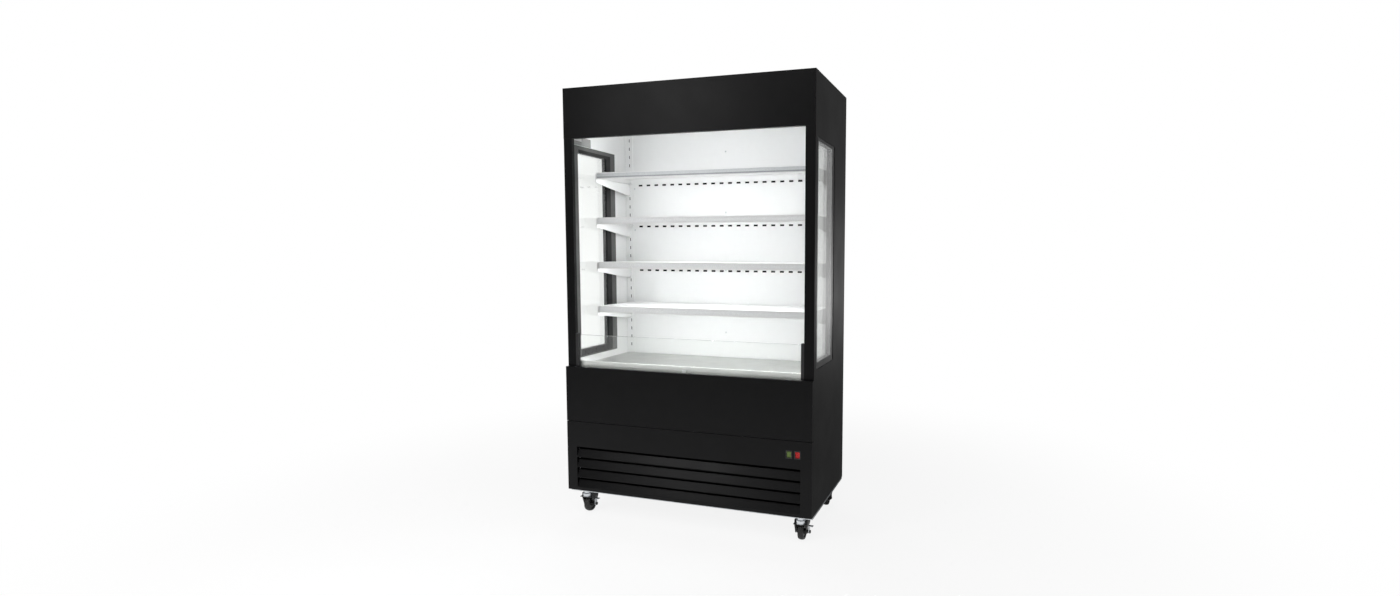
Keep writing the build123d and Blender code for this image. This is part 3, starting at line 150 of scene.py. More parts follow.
@dataclass(frozen=True)
class Finish:
    """A surface as it is made. Sub-classes draw the pattern that the process leaves."""

    name: str
    colour: str                     # sRGB hex of the clean surface
    roughness: float
    ior: float | None = None        # None keeps the shader's own, as on metals
    gloss: float = 0.5              # specular level; a matt texture scatters some of it away
    depth: float = 0.01 * MM        # of the relief
    edge: float = 0.0               # radius that light sees on sharp edges; 0 for none
    wander: tuple[float, float] = (-0.05, 0.05)     # how far the roughness strays

    def material(self) -> bpy.types.Material:
        """Make the finish's material on first use.

        Returns:
            The material.
        """
        known = bpy.data.materials.get(self.name)
        if known:
            return known
        material = bpy.data.materials.new(self.name)
        material.use_nodes = True
        tree = material.node_tree
        tree.nodes.clear()
        values = {"Base Color": linear(self.colour), "Roughness": self.roughness,
                  "Specular IOR Level": self.gloss}
        if self.ior is not None:
            values["IOR"] = self.ior
        shader = add_node(tree, "ShaderNodeBsdfPrincipled", values)
        output = add_node(tree, "ShaderNodeOutputMaterial", {"Surface": shader})
        place = add_node(tree, "ShaderNodeTexCoord").outputs["Object"]
        self.pattern(Ground(tree, place, shader, output))
        return material

    def pattern(self, ground: Ground) -> None:
        """Draw what the making of the surface leaves on it."""
        raise NotImplementedError

    def lay(self, ground: Ground, tone: Source, other: Source | tuple, cloud: Source, relief: Source,
            span: dict = NOISE_SPAN) -> None:
        """Let the shader's colour, gloss and relief follow three masks.

        Args:
            ground: what the finish is drawn on.
            tone: 0 gives the clean colour, 1 gives the other.
            other: the other colour.
            cloud: what the roughness strays with.
            relief: height, 0 to 1.
            span: range of the cloud, as inputs of the Map Range node.
        """
        tree, (down, up) = ground.tree, self.wander
        colour = add_node(tree, "ShaderNodeMix", {0: tone, 6: linear(self.colour), 7: other},
                          data_type="RGBA")
        rough = add_node(tree, RANGE, {"Value": cloud, **span, "To Min": self.roughness + down,
                                       "To Max": self.roughness + up})
        height: dict = {"Height": relief, "Distance": self.depth, "Strength": 1.0}
        if self.edge:
            height["Normal"] = add_node(tree, "ShaderNodeBevel", {"Radius": self.edge}, samples=4)
        bump = add_node(tree, "ShaderNodeBump", height)
        tree.links.new(colour.outputs[2], ground.shader.inputs["Base Color"])
        tree.links.new(rough.outputs[0], ground.shader.inputs["Roughness"])
        tree.links.new(bump.outputs[0], ground.shader.inputs["Normal"])


@dataclass(frozen=True)
class PowderCoat(Finish):
    """Polyester powder baked on steel: a faint orange peel, and a film of shop dust."""

    peel: float = 1.6 * MM      # real orange peel spacing, drawn as it is
    cloud: float = 180 * MM     # slow changes of sheen
    film: float = 45 * MM       # patches of dust
    dust: float = 0.12
    dusty: str = "181819"
    depth: float = 0.012 * MM
    edge: float = 1.2 * MM
    wander: tuple[float, float] = (-0.02, 0.03)

    def pattern(self, ground: Ground) -> None:
        """Draw peel, slow changes of sheen and dust.

        Args:
            ground: what the finish is drawn on.
        """
        tree, place = ground.tree, ground.place
        peel = add_node(tree, NOISE, {"Vector": place, "Scale": 1 / self.peel, "Detail": 1.0})
        cloud = add_node(tree, NOISE, {"Vector": place, "Scale": 1 / self.cloud, "Detail": 3.0})
        film = add_node(tree, NOISE, {"Vector": place, "Scale": 1 / self.film, "Detail": 4.0})
        dust = add_node(tree, RANGE, {"Value": film, **NOISE_SPAN, "To Max": self.dust})
        self.lay(ground, dust, linear(self.dusty), cloud, peel)


@dataclass(frozen=True)
class WindowFrame(Finish):
    """Black frame round the panes, with painted light: a grey on its part nearer the middle, outside the
    panes' opening, where the inside's lamps light it.
    """

    # Painted light: the grey of the lit inward part, and a second grey that handling wears in patches.
    painted_lit_face: str = "525251"
    worn: str = "5e5e5c"
    touch: float = 60 * MM      # patches worn by handling
    grain: float = 1.1 * MM
    edge: float = 0.8 * MM
    lit_face_inside: float = 570 * MM                             # the painted lit grey lies nearer to the middle
    panes_y: tuple[float, float] = (-212.0 * MM, 64.5 * MM)     # and outside this opening
    panes_z: tuple[float, float] = (757 * MM, 1733 * MM)

    def pattern(self, ground: Ground) -> None:
        """Paint light as a grey on the frame's inward part, told by its place, and let handling polish its
        face.

        Args:
            ground: what the finish is drawn on.
        """
        tree, place = ground.tree, ground.place
        split = add_node(tree, "ShaderNodeSeparateXYZ", {"Vector": place})
        spans = ((-self.lit_face_inside, self.lit_face_inside), self.panes_y, self.panes_z)
        inside, over_y, over_z = (
            add_node(tree, MATH, {0: split.outputs[axis], 1: (low + high) / 2, 2: (high - low) / 2},
                     operation="COMPARE")
            for axis, (low, high) in zip("XYZ", spans))
        panes = add_node(tree, MATH, {0: over_y, 1: over_z}, operation="MULTIPLY")
        # the inward part outside the opening, which gets the painted lit grey
        painted_lit_face = add_node(tree, MATH, {0: inside, 1: panes}, operation="SUBTRACT", use_clamp=True)
        cloud = add_node(tree, NOISE, {"Vector": place, "Scale": 1 / self.touch, "Detail": 3.0})
        grain = add_node(tree, NOISE, {"Vector": place, "Scale": 1 / self.grain, "Detail": 2.0})
        wear = add_node(tree, RANGE, {"Value": cloud, **NOISE_SPAN})
        grey = add_node(tree, "ShaderNodeMix", {0: wear, 6: linear(self.painted_lit_face), 7: linear(self.worn)},
                        data_type="RGBA")
        self.lay(ground, painted_lit_face, grey, cloud, grain)


@dataclass(frozen=True)
class Plated(Finish):
    """Rolled or plated metal with a grain along its length."""

    light: str = "d8d8d6"
    grain: float = 0.5 * MM     # width of a brushed line
    run: float = 60.0           # how many times longer the lines are
    stain: float = 90 * MM
    depth: float = 0.004 * MM
    edge: float = 0.6 * MM
    wander: tuple[float, float] = (-0.06, 0.07)

    def pattern(self, ground: Ground) -> None:
        """Draw the lines of brushing or rolling along X, and slow stains.

        Args:
            ground: what the finish is drawn on.
        """
        tree, place = ground.tree, ground.place
        ground.shader.inputs["Metallic"].default_value = 1.0
        along = add_node(tree, "ShaderNodeMapping", {"Vector": place, "Scale": (1 / self.run, 1.0, 1.0)})
        lines = add_node(tree, NOISE, {"Vector": along, "Scale": 1 / self.grain, "Detail": 2.0})
        stain = add_node(tree, NOISE, {"Vector": place, "Scale": 1 / self.stain, "Detail": 3.0})
        both = add_node(tree, MATH, {0: lines, 1: stain}, operation="MULTIPLY")
        mask = add_node(tree, RANGE, {"Value": both, **PRODUCT_SPAN})
        self.lay(ground, mask, linear(self.light), lines, lines)


@dataclass(frozen=True)
class Galvanised(Finish):
    """Hot-dip zinc: spangles that differ in tone and gloss."""

    light: str = "c9cccf"
    spangle: float = 9 * MM
    bloom: float = 3 * MM
    wander: tuple[float, float] = (-0.08, 0.08)

    def pattern(self, ground: Ground) -> None:
        """Draw flat spangles and a dull bloom over them.

        Args:
            ground: what the finish is drawn on.
        """
        tree, place = ground.tree, ground.place
        ground.shader.inputs["Metallic"].default_value = 1.0
        cells = add_node(tree, "ShaderNodeTexVoronoi", {"Vector": place, "Scale": 1 / self.spangle})
        tone = add_node(tree, "ShaderNodeSeparateColor", {"Color": cells.outputs["Color"]})
        bloom = add_node(tree, NOISE, {"Vector": place, "Scale": 1 / self.bloom, "Detail": 2.0})
        self.lay(ground, tone, linear(self.light), tone, bloom, UNIT_SPAN)


@dataclass(frozen=True)
class Moulded(Finish):
    """Injection-moulded plastic or rubber: the fine grain of a spark-eroded tool."""

    grain: float = 0.9 * MM     # real grain 0.1 mm, drawn coarse enough to show
    film: float = 14 * MM       # patches of dust
    dust: float = 0.15
    dusty: str = "3a3a3a"
    depth: float = 0.02 * MM
    edge: float = 0.5 * MM

    def pattern(self, ground: Ground) -> None:
        """Draw the tool's grain, and dust in the hollows.

        Args:
            ground: what the finish is drawn on.
        """
        tree, place = ground.tree, ground.place
        grain = add_node(tree, NOISE, {"Vector": place, "Scale": 1 / self.grain, "Detail": 2.0})
        film = add_node(tree, NOISE, {"Vector": place, "Scale": 1 / self.film, "Detail": 4.0})
        dust = add_node(tree, RANGE, {"Value": film, **NOISE_SPAN, "To Max": self.dust})
        self.lay(ground, dust, linear(self.dusty), grain, grain)


@dataclass(frozen=True)
class FloatGlass(Finish):
    """Clear float glass with finger haze. Shadow rays pass, so it does not darken the inside."""

    haze: tuple[float, float] = (0.0, 0.006)    # least and most roughness
    touch: float = 120 * MM
    tint: str = "fbfdfc"

    def pattern(self, ground: Ground) -> None:
        """Let light through, with a trace of haze in its gloss.

        Args:
            ground: what the finish is drawn on.
        """
        tree, shader = ground.tree, ground.shader
        shader.inputs["Transmission Weight"].default_value = 1.0
        cloud = add_node(tree, NOISE, {"Vector": ground.place, "Scale": 1 / self.touch, "Detail": 2.0})
        haze = add_node(tree, RANGE, {"Value": cloud, **NOISE_SPAN, "To Min": self.haze[0],
                                      "To Max": self.haze[1]})
        tree.links.new(haze.outputs[0], shader.inputs["Roughness"])
        path = add_node(tree, "ShaderNodeLightPath").outputs
        clear = add_node(tree, "ShaderNodeBsdfTransparent", {"Color": linear(self.tint)})
        soft = add_node(tree, MATH, {0: path["Is Shadow Ray"], 1: path["Is Diffuse Ray"]},
                        operation="MAXIMUM")
        mix = add_node(tree, "ShaderNodeMixShader", {0: soft, 1: shader, 2: clear})
        tree.links.new(mix.outputs[0], ground.output.inputs["Surface"])


@dataclass(frozen=True)
class LitLens(Finish):
    """Opal polycarbonate over a row of diodes: it glows, a little less between them."""

    strength: float = 18.0
    pitch: float = 16 * MM
    between: str = "f0f4f8"
    bright: str = "fdfeff"

    def pattern(self, ground: Ground) -> None:
        """Glow evenly, with the diodes just told apart.

        Args:
            ground: what the finish is drawn on.
        """
        tree, shader = ground.tree, ground.shader
        shader.inputs["Emission Strength"].default_value = self.strength
        across = add_node(tree, "ShaderNodeSeparateXYZ", {"Vector": ground.place}).outputs["X"]
        wave = add_node(tree, MATH, {0: across, 1: 2 * math.pi / self.pitch}, operation="MULTIPLY")
        ripple = add_node(tree, MATH, {0: wave}, operation="COSINE")
        mask = add_node(tree, RANGE, {"Value": ripple, "From Min": -1.0, "From Max": 1.0})
        glow = add_node(tree, "ShaderNodeMix", {0: mask, 6: linear(self.between), 7: linear(self.bright)},
                        data_type="RGBA")
        tree.links.new(glow.outputs[2], shader.inputs["Emission Color"])


class Palette(Enum):
    """The finishes of the cabinet, by the place they are used."""

    # Semi-gloss black coat: a soft, slightly rippled sheen with a trace of dust.
    CASE = PowderCoat("black_polyester_powder_coat", "0b0b0c", 0.38, 1.5, 0.15)
    # Smooth white coat that spreads the lamps' light evenly over the inside.
    INTERIOR = PowderCoat("white_polyester_powder_coat", "f3f3f2", 0.42, 1.5, depth=0.006 * MM,
                          edge=0.8 * MM, dusty="ebebe9")
    # Thick dipped enamel: deeper black, shinier and with a longer ripple than the powder coat.
    ENAMEL = PowderCoat("black_stove_enamel", "121213", 0.3, 1.5, peel=3 * MM, dusty="262626")
    # Brushed stainless steel: fine lines along its length and a broad, soft shine.
    SATIN = Plated("satin_stainless_steel", "bebebc", 0.38, light="cecfcc")
    # Bright plating: a small cool mirror with faint clouds.
    ZINC = Plated("bright_zinc_plate", "b4b7bb", 0.24, light="d9dcdf", grain=1.2 * MM, run=2.0)
    # Hot-dip coat: frosty spangles, each with its own tone and gloss.
    GALVANISED = Galvanised("hot_dip_galvanised_steel", "b4b8bb", 0.46, light="dcdfe1")
    # Dull pale heads that stand out from black and white sheet alike.
    PASSIVATED = Plated("passivated_zinc_screw", "c6c9cb", 0.5, light="e2e4e5", grain=1.2 * MM, run=2.0)
    # Near-mirror edge that draws a thin bright line along the return lip.
    POLISHED = Plated("polished_steel_trim", "eeeeec", 0.3, depth=0.0004 * MM, light="f8f8f6",
                      grain=0.3 * MM)
    # Painted shade on the top rail: a grey holder in place of the white card, a little darker than the white
    # sheet.
    SHADED_STRIP = Moulded("label_holder_painted_shade", "d4d6d7", 0.3, 1.53, depth=0.001 * MM, grain=5 * MM,
                    dusty="caccce")
    # Painted shadow: the top rail's holder lip, darker, drawing a line of shade along the rail's foot.
    SHADOW_LIP = Moulded("label_holder_lip_painted_shadow", "a4a7a8", 0.3, 1.53, depth=0.001 * MM, grain=5 * MM,
                  dusty="9a9d9e")
    # White card under clear film: crisp, flat and slightly shiny.
    LABEL = Moulded("label_strip_pvc", "f4f5f5", 0.26, 1.53, depth=0.001 * MM, grain=5 * MM,
                    dusty="ecedee")
    # Painted shade: mid-grey plastic with a soft sheen, for cheeks where the liners lie in shade below the
    # outlet.
    SHADE_CHEEK = Moulded("grey_cheek_painted_shade", "8e8e8c", 0.5, 1.53, dusty="868684")
    # Milky acrylic that passes the light behind it.
    FROSTED = FloatGlass("frosted_acrylic_clip", "fdfefe", 0.0, 1.49, haze=(0.25, 0.35))
    # Matt black bars, with painted light: a grey on their inward part, where the inside's lamps light them.
    FRAME = WindowFrame("black_frame_with_painted_lit_face", "0f0f10", 0.5, 1.5, 0.3)
    # Painted shade: open-pored black foam behind the louvres and the uprights' slots, where shade falls.
    SHADE_FOAM = Moulded("black_foam_painted_shade", "060606", 0.9, 1.5, 0.1, depth=0.4 * MM, grain=1.6 * MM,
                     dusty="100f0f", dust=0.4)
    # Mill-finish aluminium: pale, with a fine grain and no direction.
    FINS = Plated("mill_aluminium_fin_stock", "b9bcbf", 0.36, light="d5d7d9", grain=0.8 * MM, run=1.0)
    # Painted shade: the condenser's fins dull black, as the shade behind the louvres, greyed by real dust.
    SHADE_FINS = Moulded("black_fins_painted_shade_and_dust", "0e0e0f", 0.55, 1.5, grain=2 * MM, dusty="242322",
                          dust=0.3)
    # Drawn copper: warm, shiny, with browner patches.
    COPPER = Plated("drawn_copper_tube", "a45a38", 0.26, light="c98058", grain=1.5 * MM, run=2.0)
    # Off-white plastic with the fine grain of its mould.
    WHITE_PLASTIC = Moulded("white_moulded_abs", "e6e7e6", 0.42, 1.53, dusty="d2d2d0")
    # Satin black plastic, a little lighter than the sheet round it.
    BLACK_PLASTIC = Moulded("black_moulded_abs", "1a1a1b", 0.4, 1.53)
    # Dull black rubber that closes the joint round the glass.
    SEAL = Moulded("black_epdm_seal", "101010", 0.62, 1.48)
    # Dull black rubber, greyed by the floor's dust.
    TYRE = Moulded("black_rubber_tyre", "1a1a1b", 0.6, 1.48, dusty="4a4846", dust=0.3)
    # Smooth white bead, softly shining and a little uneven.
    SEALANT = Moulded("white_silicone_sealant", "e9eae8", 0.3, 1.41, grain=4 * MM, dusty="dfe0dd")
    # Unlit lamp rockers: solid colour under a clear gloss.
    GREEN = Moulded("green_moulded_polycarbonate", "607636", 0.3, 1.58, 0.25, 0.004 * MM, dusty="647240")
    RED = Moulded("red_moulded_polycarbonate", "c21a1c", 0.3, 1.58, 0.25, 0.004 * MM, dusty="b02426")
    # Clear, almost colourless, with a faint haze where hands touched it.
    GLASS = FloatGlass("clear_float_glass", "fefffe", 0.0, 1.52)
    # Opal covers: an even glow in which the diodes can just be told apart.
    LENS = LitLens("opal_polycarbonate_lens", "f2f5f8", 0.35, 1.58)
    DEEP_LENS = LitLens("opal_lens_with_double_diode_row", "f2f5f8", 0.35, 1.58, strength=24.0, pitch=8 * MM)

    def material(self) -> bpy.types.Material:
        """Return the finish's material."""
        return self.value.material()


# The record's material slots, and the finish that each is given.
SLOT_FINISH: dict[str, Palette] = {
    "black_steel": Palette.CASE, "white_steel": Palette.INTERIOR, "white_plastic": Palette.WHITE_PLASTIC,
    "black_plastic": Palette.BLACK_PLASTIC, "clear_glass": Palette.GLASS, "light_lens": Palette.LENS,
    "galvanised": Palette.GALVANISED, "satin_steel": Palette.SATIN, "zinc": Palette.ZINC,
    "aluminium_fins": Palette.FINS, "copper": Palette.COPPER, "black_enamel": Palette.ENAMEL,
    "tyre_black": Palette.TYRE, "pedal_grey": Palette.ZINC, "switch_green": Palette.GREEN,
    "switch_red": Palette.RED,
}

# Nodes finished otherwise than their slot: condenser and shroud black as painted shade behind the louvres,
# frames with painted light on their inward part, the stronger lamp over the tall bottom bay, a frosted clip.
NODE_FINISH: dict[str, Palette] = {
    "condenser_coil": Palette.SHADE_FINS, "condenser_fan_shroud": Palette.CASE,
    "window_frame_left": Palette.FRAME, "window_frame_right": Palette.FRAME,
    "shelf_light_4": Palette.DEEP_LENS, "glass_clip": Palette.FROSTED,
}


# ---------------------------------------------------------------------------------------------
# Making pieces
# ---------------------------------------------------------------------------------------------


def closed(build: bmesh.types.BMesh) -> bpy.types.Mesh:
    """Merge doubles, turn faces outwards, smooth shallow edges and free the bmesh.

    Args:
        build: the mesh in the making.

    Returns:
        The mesh.
    """
    bmesh.ops.remove_doubles(build, verts=build.verts, dist=WELD_DISTANCE)
    bmesh.ops.recalc_face_normals(build, faces=build.faces)
    for face in build.faces:
        face.smooth = True
    for edge in build.edges:
        edge.smooth = len(edge.link_faces) == 2 and edge.calc_face_angle(0.0) < SMOOTH_ANGLE
    mesh = bpy.data.meshes.new("part")
    build.to_mesh(mesh)
    build.free()
    return mesh


def turned(profile: Profile, axis: Matrix, segments: int) -> bpy.types.Mesh:
    """Spin a closed profile of radius and height into a ring or cap.

    Args:
        profile: (radius, height) points; the first and last may lie on the axis.
        axis: carries the turning axis, which is local Z, into place.
        segments: steps of the spin.

    Returns:
        The mesh.
    """
    build = bmesh.new()
    turns = [2 * math.pi * step / segments for step in range(segments)]
    rings = [[build.verts.new(axis @ Vector((r * math.cos(turn), r * math.sin(turn), h))) for r, h in profile]
             for turn in turns]
    for here, there in zip(rings, rings[1:] + rings[:1]):
        for i in range(len(profile)):
            j = (i + 1) % len(profile)
            build.faces.new((here[i], here[j], there[j], there[i]))
    bmesh.ops.remove_doubles(build, verts=build.verts, dist=WELD_DISTANCE / 10)
    bmesh.ops.dissolve_degenerate(build, edges=build.edges, dist=WELD_DISTANCE / 10)
    return closed(build)


@dataclass(frozen=True)
class Piece:
    """A piece in the making: its name, material slot and finish, and the CAD body it moves with."""

    name: str
    slot: str
    finish: Palette
    body: str = ROOT
    replaces: tuple[str, ...] = ()      # CAD nodes that it stands for

    def place(self, mesh: bpy.types.Mesh) -> None:
        """Put the piece into the scene and hand it to the frame.

        Args:
            mesh: its mesh, in place.
        """
        mesh.name = self.name
        mesh.materials.clear()
        mesh.materials.append(self.finish.material())
        obj = bpy.data.objects.new(self.name, mesh)
        bpy.context.scene.collection.objects.link(obj)
        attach(obj, self.body)
        if self.replaces:
            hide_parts(*self.replaces)
        LOG.info("piece %s on %s: %d faces", self.name, self.body, len(mesh.polygons))

    def boxes(self, boxes: Sequence[tuple[Point, Point]], radius: float) -> None:
        """Make the piece from boxes with rounded edges.

        Args:
            boxes: lowest and highest corner of each box.
            radius: edge radius.
        """
        build = bmesh.new()
        for low, high in boxes:
            size = Vector(high) - Vector(low)
            place = Matrix.Translation((Vector(low) + Vector(high)) / 2) @ Matrix.Diagonal((*size, 1.0))
            made = bmesh.ops.create_cube(build, size=1.0, matrix=place)
            edges = dict.fromkeys(e for v in made["verts"] for e in v.link_edges)
            bmesh.ops.bevel(build, geom=list(edges), offset=radius, segments=2, affect="EDGES", profile=0.5)
        self.place(closed(build))

    def drawn(self, profile: Profile, x_from: float, x_to: float) -> None:
        """Make the piece from a closed profile, drawn out along X.

        Args:
            profile: (y, z) points in order.
            x_from: one end.
            x_to: the other end.
        """
        build = bmesh.new()
        near, far = ([build.verts.new((x, y, z)) for y, z in profile] for x in (x_from, x_to))
        for i in range(len(profile)):
            j = (i + 1) % len(profile)
            build.faces.new((near[i], near[j], far[j], far[i]))
        build.faces.new(near)
        build.faces.new(far)
        self.place(closed(build))


class Heads:
    """Small fastener heads, made at the origin with their axis along Z."""

    @staticmethod
    def cross_recess(radius: float, height: float) -> bpy.types.Mesh:
        """Make a domed screw head with a cross recess.

        Args:
            radius: head radius.
            height: head height.

        Returns:
            The mesh.
        """
        build = bmesh.new()
        sides = 16
        turns = [2 * math.pi * k / sides for k in range(sides)]
        levels = ((radius, 0.0), (0.96 * radius, 0.35), (0.8 * radius, 0.72), (0.5 * radius, 0.95))
        loops = [[build.verts.new((wide * math.cos(a), wide * math.sin(a), height * up)) for a in turns]
                 for wide, up in levels]
        for below, above in zip(loops, loops[1:]):
            for k in range(sides):
                j = (k + 1) % sides
                build.faces.new((below[k], below[j], above[j], above[k]))
        wide, slim = 0.42 * radius, 0.1 * radius
        arm = ((slim, slim), (slim, wide), (-slim, wide))
        plus = arm + tuple((-y, x) for x, y in arm) + tuple((-x, -y) for x, y in arm) \
            + tuple((y, -x) for x, y in arm)
        rim = [build.verts.new((x, y, 0.95 * height)) for x, y in plus]
        pit = [build.verts.new((0.8 * x, 0.8 * y, 0.35 * height)) for x, y in plus]
        count = len(plus)
        edges = [build.edges.new((rim[k], rim[(k + 1) % count])) for k in range(count)]
        edges += [build.edges.get((loops[-1][k], loops[-1][(k + 1) % sides])) for k in range(sides)]
        bmesh.ops.triangle_fill(build, use_beauty=True, edges=edges)
        for k in range(count):
            j = (k + 1) % count
            build.faces.new((rim[k], rim[j], pit[j], pit[k]))
        build.faces.new(pit)
        build.faces.new(loops[0])
        return closed(build)

    @staticmethod
    def hexagon(radius: float, height: float, washer: float) -> bpy.types.Mesh:
        """Make a hexagon head on a washer.

        Args:
            radius: corner radius of the hexagon.
            height: height of the head over the washer.
            washer: washer radius.

        Returns:
            The mesh.
        """
        build = bmesh.new()
        thick = 0.25 * height
        for sides, wide, low, high in ((20, washer, 0.0, thick), (6, radius, thick, thick + height)):
            disc = bmesh.new()      # one of its own, so that its faces come in the same order each run
            middle = Matrix.Translation((0, 0, (low + high) / 2))
            bmesh.ops.create_cone(disc, cap_ends=True, segments=sides, radius1=wide, radius2=wide,
                                  depth=high - low, matrix=middle)
            rim = [e for e in disc.edges if all(v.co.z > high - WELD_DISTANCE for v in e.verts)]
            bmesh.ops.bevel(disc, geom=rim, offset=0.12 * (high - low), segments=1, affect="EDGES")
            part = closed(disc)
            build.from_mesh(part)
            bpy.data.meshes.remove(part)
        return closed(build)

    @staticmethod
    def dome(radius: float, height: float) -> bpy.types.Mesh:
        """Make a pop rivet: a low dome with the mandrel's pit.

        Args:
            radius: head radius.
            height: head height.

        Returns:
            The mesh.
        """
        shares = ((0.0, 0.0), (1.0, 0.0), (0.94, 0.4), (0.7, 0.8), (0.42, 1.0), (0.36, 0.7), (0.0, 0.7))
        return turned([(radius * wide, height * up) for wide, up in shares], Matrix.Identity(4), 14)


class Repeater:
    """A Geometry Nodes tree that is run once and leaves one plain piece."""

    BEAD_SIDES = 8

    def __init__(self, piece: Piece) -> None:
        """Start a tree with a geometry input and output.

        Args:
            piece: what the tree makes.
        """
        self.piece = piece
        self.tree = bpy.data.node_groups.new(piece.name, "GeometryNodeTree")
        for way in ("INPUT", "OUTPUT"):
            self.tree.interface.new_socket("Geometry", in_out=way, socket_type="NodeSocketGeometry")
        self.values: dict[str, object] = {}
        self.source = add_node(self.tree, "NodeGroupInput")

    def size(self, name: str, kind: str, value: object) -> bpy.types.NodeSocket:
        """Add a named input.

        Args:
            name: what the input is called.
            kind: its type, such as Float.
            value: what it is set to when the tree runs.

        Returns:
            The socket to link from.
        """
        item = self.tree.interface.new_socket(name, in_out="INPUT", socket_type="NodeSocket" + kind)
        self.values[item.identifier] = value
        return self.source.outputs[name]

    def run(self, shape: bpy.types.Node, points: Sequence[Point] = ((0, 0, 0),)) -> None:
        """End the tree, run it and put the piece into the scene.

        Args:
            shape: the node whose geometry is put out.
            points: vertices that the tree works on, if it needs any.
        """
        whole = add_node(self.tree, "GeometryNodeRealizeInstances", {"Geometry": shape})
        made = add_node(self.tree, "GeometryNodeSetMaterial",
                        {"Geometry": whole, "Material": self.piece.finish.material()})
        add_node(self.tree, "NodeGroupOutput", {0: made})
        seed = bpy.data.meshes.new("seed")
        seed.from_pydata([tuple(p) for p in points], [], [])
        holder = bpy.data.objects.new("holder", seed)
        bpy.context.scene.collection.objects.link(holder)
        modifier = holder.modifiers.new("repeat", "NODES")
        modifier.node_group = self.tree
        for identifier, value in self.values.items():
            modifier[identifier] = value
        graph = bpy.context.evaluated_depsgraph_get()
        mesh = bpy.data.meshes.new_from_object(holder.evaluated_get(graph), depsgraph=graph)
        bpy.data.objects.remove(holder)
        self.piece.place(mesh)

    def on_points(self, head: bpy.types.Mesh, points: Sequence[Point], turn: Point) -> None:
        """Set one head on every point.

        Args:
            head: what to repeat, with its axis along Z.
            points: where it goes.
            turn: Euler angles that turn it into place.
        """
        pattern = bpy.data.objects.new("pattern", head)
        thing = self.size("Piece", "Object", pattern)
        info = add_node(self.tree, "GeometryNodeObjectInfo", {"Object": thing})
        spread = add_node(self.tree, "GeometryNodeInstanceOnPoints",
                          {"Points": self.source.outputs[0], "Instance": info.outputs["Geometry"],
                           "Rotation": self.size("Turn", "Rotation", turn)})
        self.run(spread, points)
        bpy.data.objects.remove(pattern)

    def plates(self, size: Point, start: Point, step: Point, count: int) -> None:
        """Set thin plates in a row, such as coil fins.

        Args:
            size: one plate.
            start: middle of the first plate.
            step: from one plate to the next.
            count: how many.
        """
        line = add_node(self.tree, "GeometryNodeMeshLine",
                        {"Count": self.size("Count", "Int", count),
                         "Start Location": self.size("Start", "Vector", start),
                         "Offset": self.size("Step", "Vector", step)}, mode="OFFSET")
        plate = add_node(self.tree, "GeometryNodeMeshCube",
                         {"Size": self.size("Plate Size", "Vector", size)})
        self.run(add_node(self.tree, "GeometryNodeInstanceOnPoints", {"Points": line, "Instance": plate}))

    def bead(self, runs: Sequence[Sequence[Point]], radius: float, rings: bool) -> None:
        """Lay a round bead along lines, such as a seal.

        Args:
            runs: the lines' points.
            radius: bead radius.
            rings: whether each line joins its own end.
        """
        verts: list[Point] = []
        edges: list[tuple[int, int]] = []
        for run in runs:
            first = len(verts)
            verts += run
            edges += [(first + k, first + k + 1) for k in range(len(run) - 1)]
            if rings:
                edges.append((len(verts) - 1, first))
        seed = bpy.data.meshes.new("path")
        seed.from_pydata(verts, edges, [])
        path = bpy.data.objects.new("path", seed)
        info = add_node(self.tree, "GeometryNodeObjectInfo",
                        {"Object": self.size("Path", "Object", path)})
        curve = add_node(self.tree, "GeometryNodeMeshToCurve", {"Mesh": info.outputs["Geometry"]})
        ring = add_node(self.tree, "GeometryNodeCurvePrimitiveCircle",
                        {"Resolution": self.BEAD_SIDES, "Radius": self.size("Radius", "Float", radius)})
        self.run(add_node(self.tree, "GeometryNodeCurveToMesh",
                          {"Curve": curve, "Profile Curve": ring, "Fill Caps": True}))
        bpy.data.objects.remove(path)


# ---------------------------------------------------------------------------------------------
# Sub-assemblies
# ---------------------------------------------------------------------------------------------


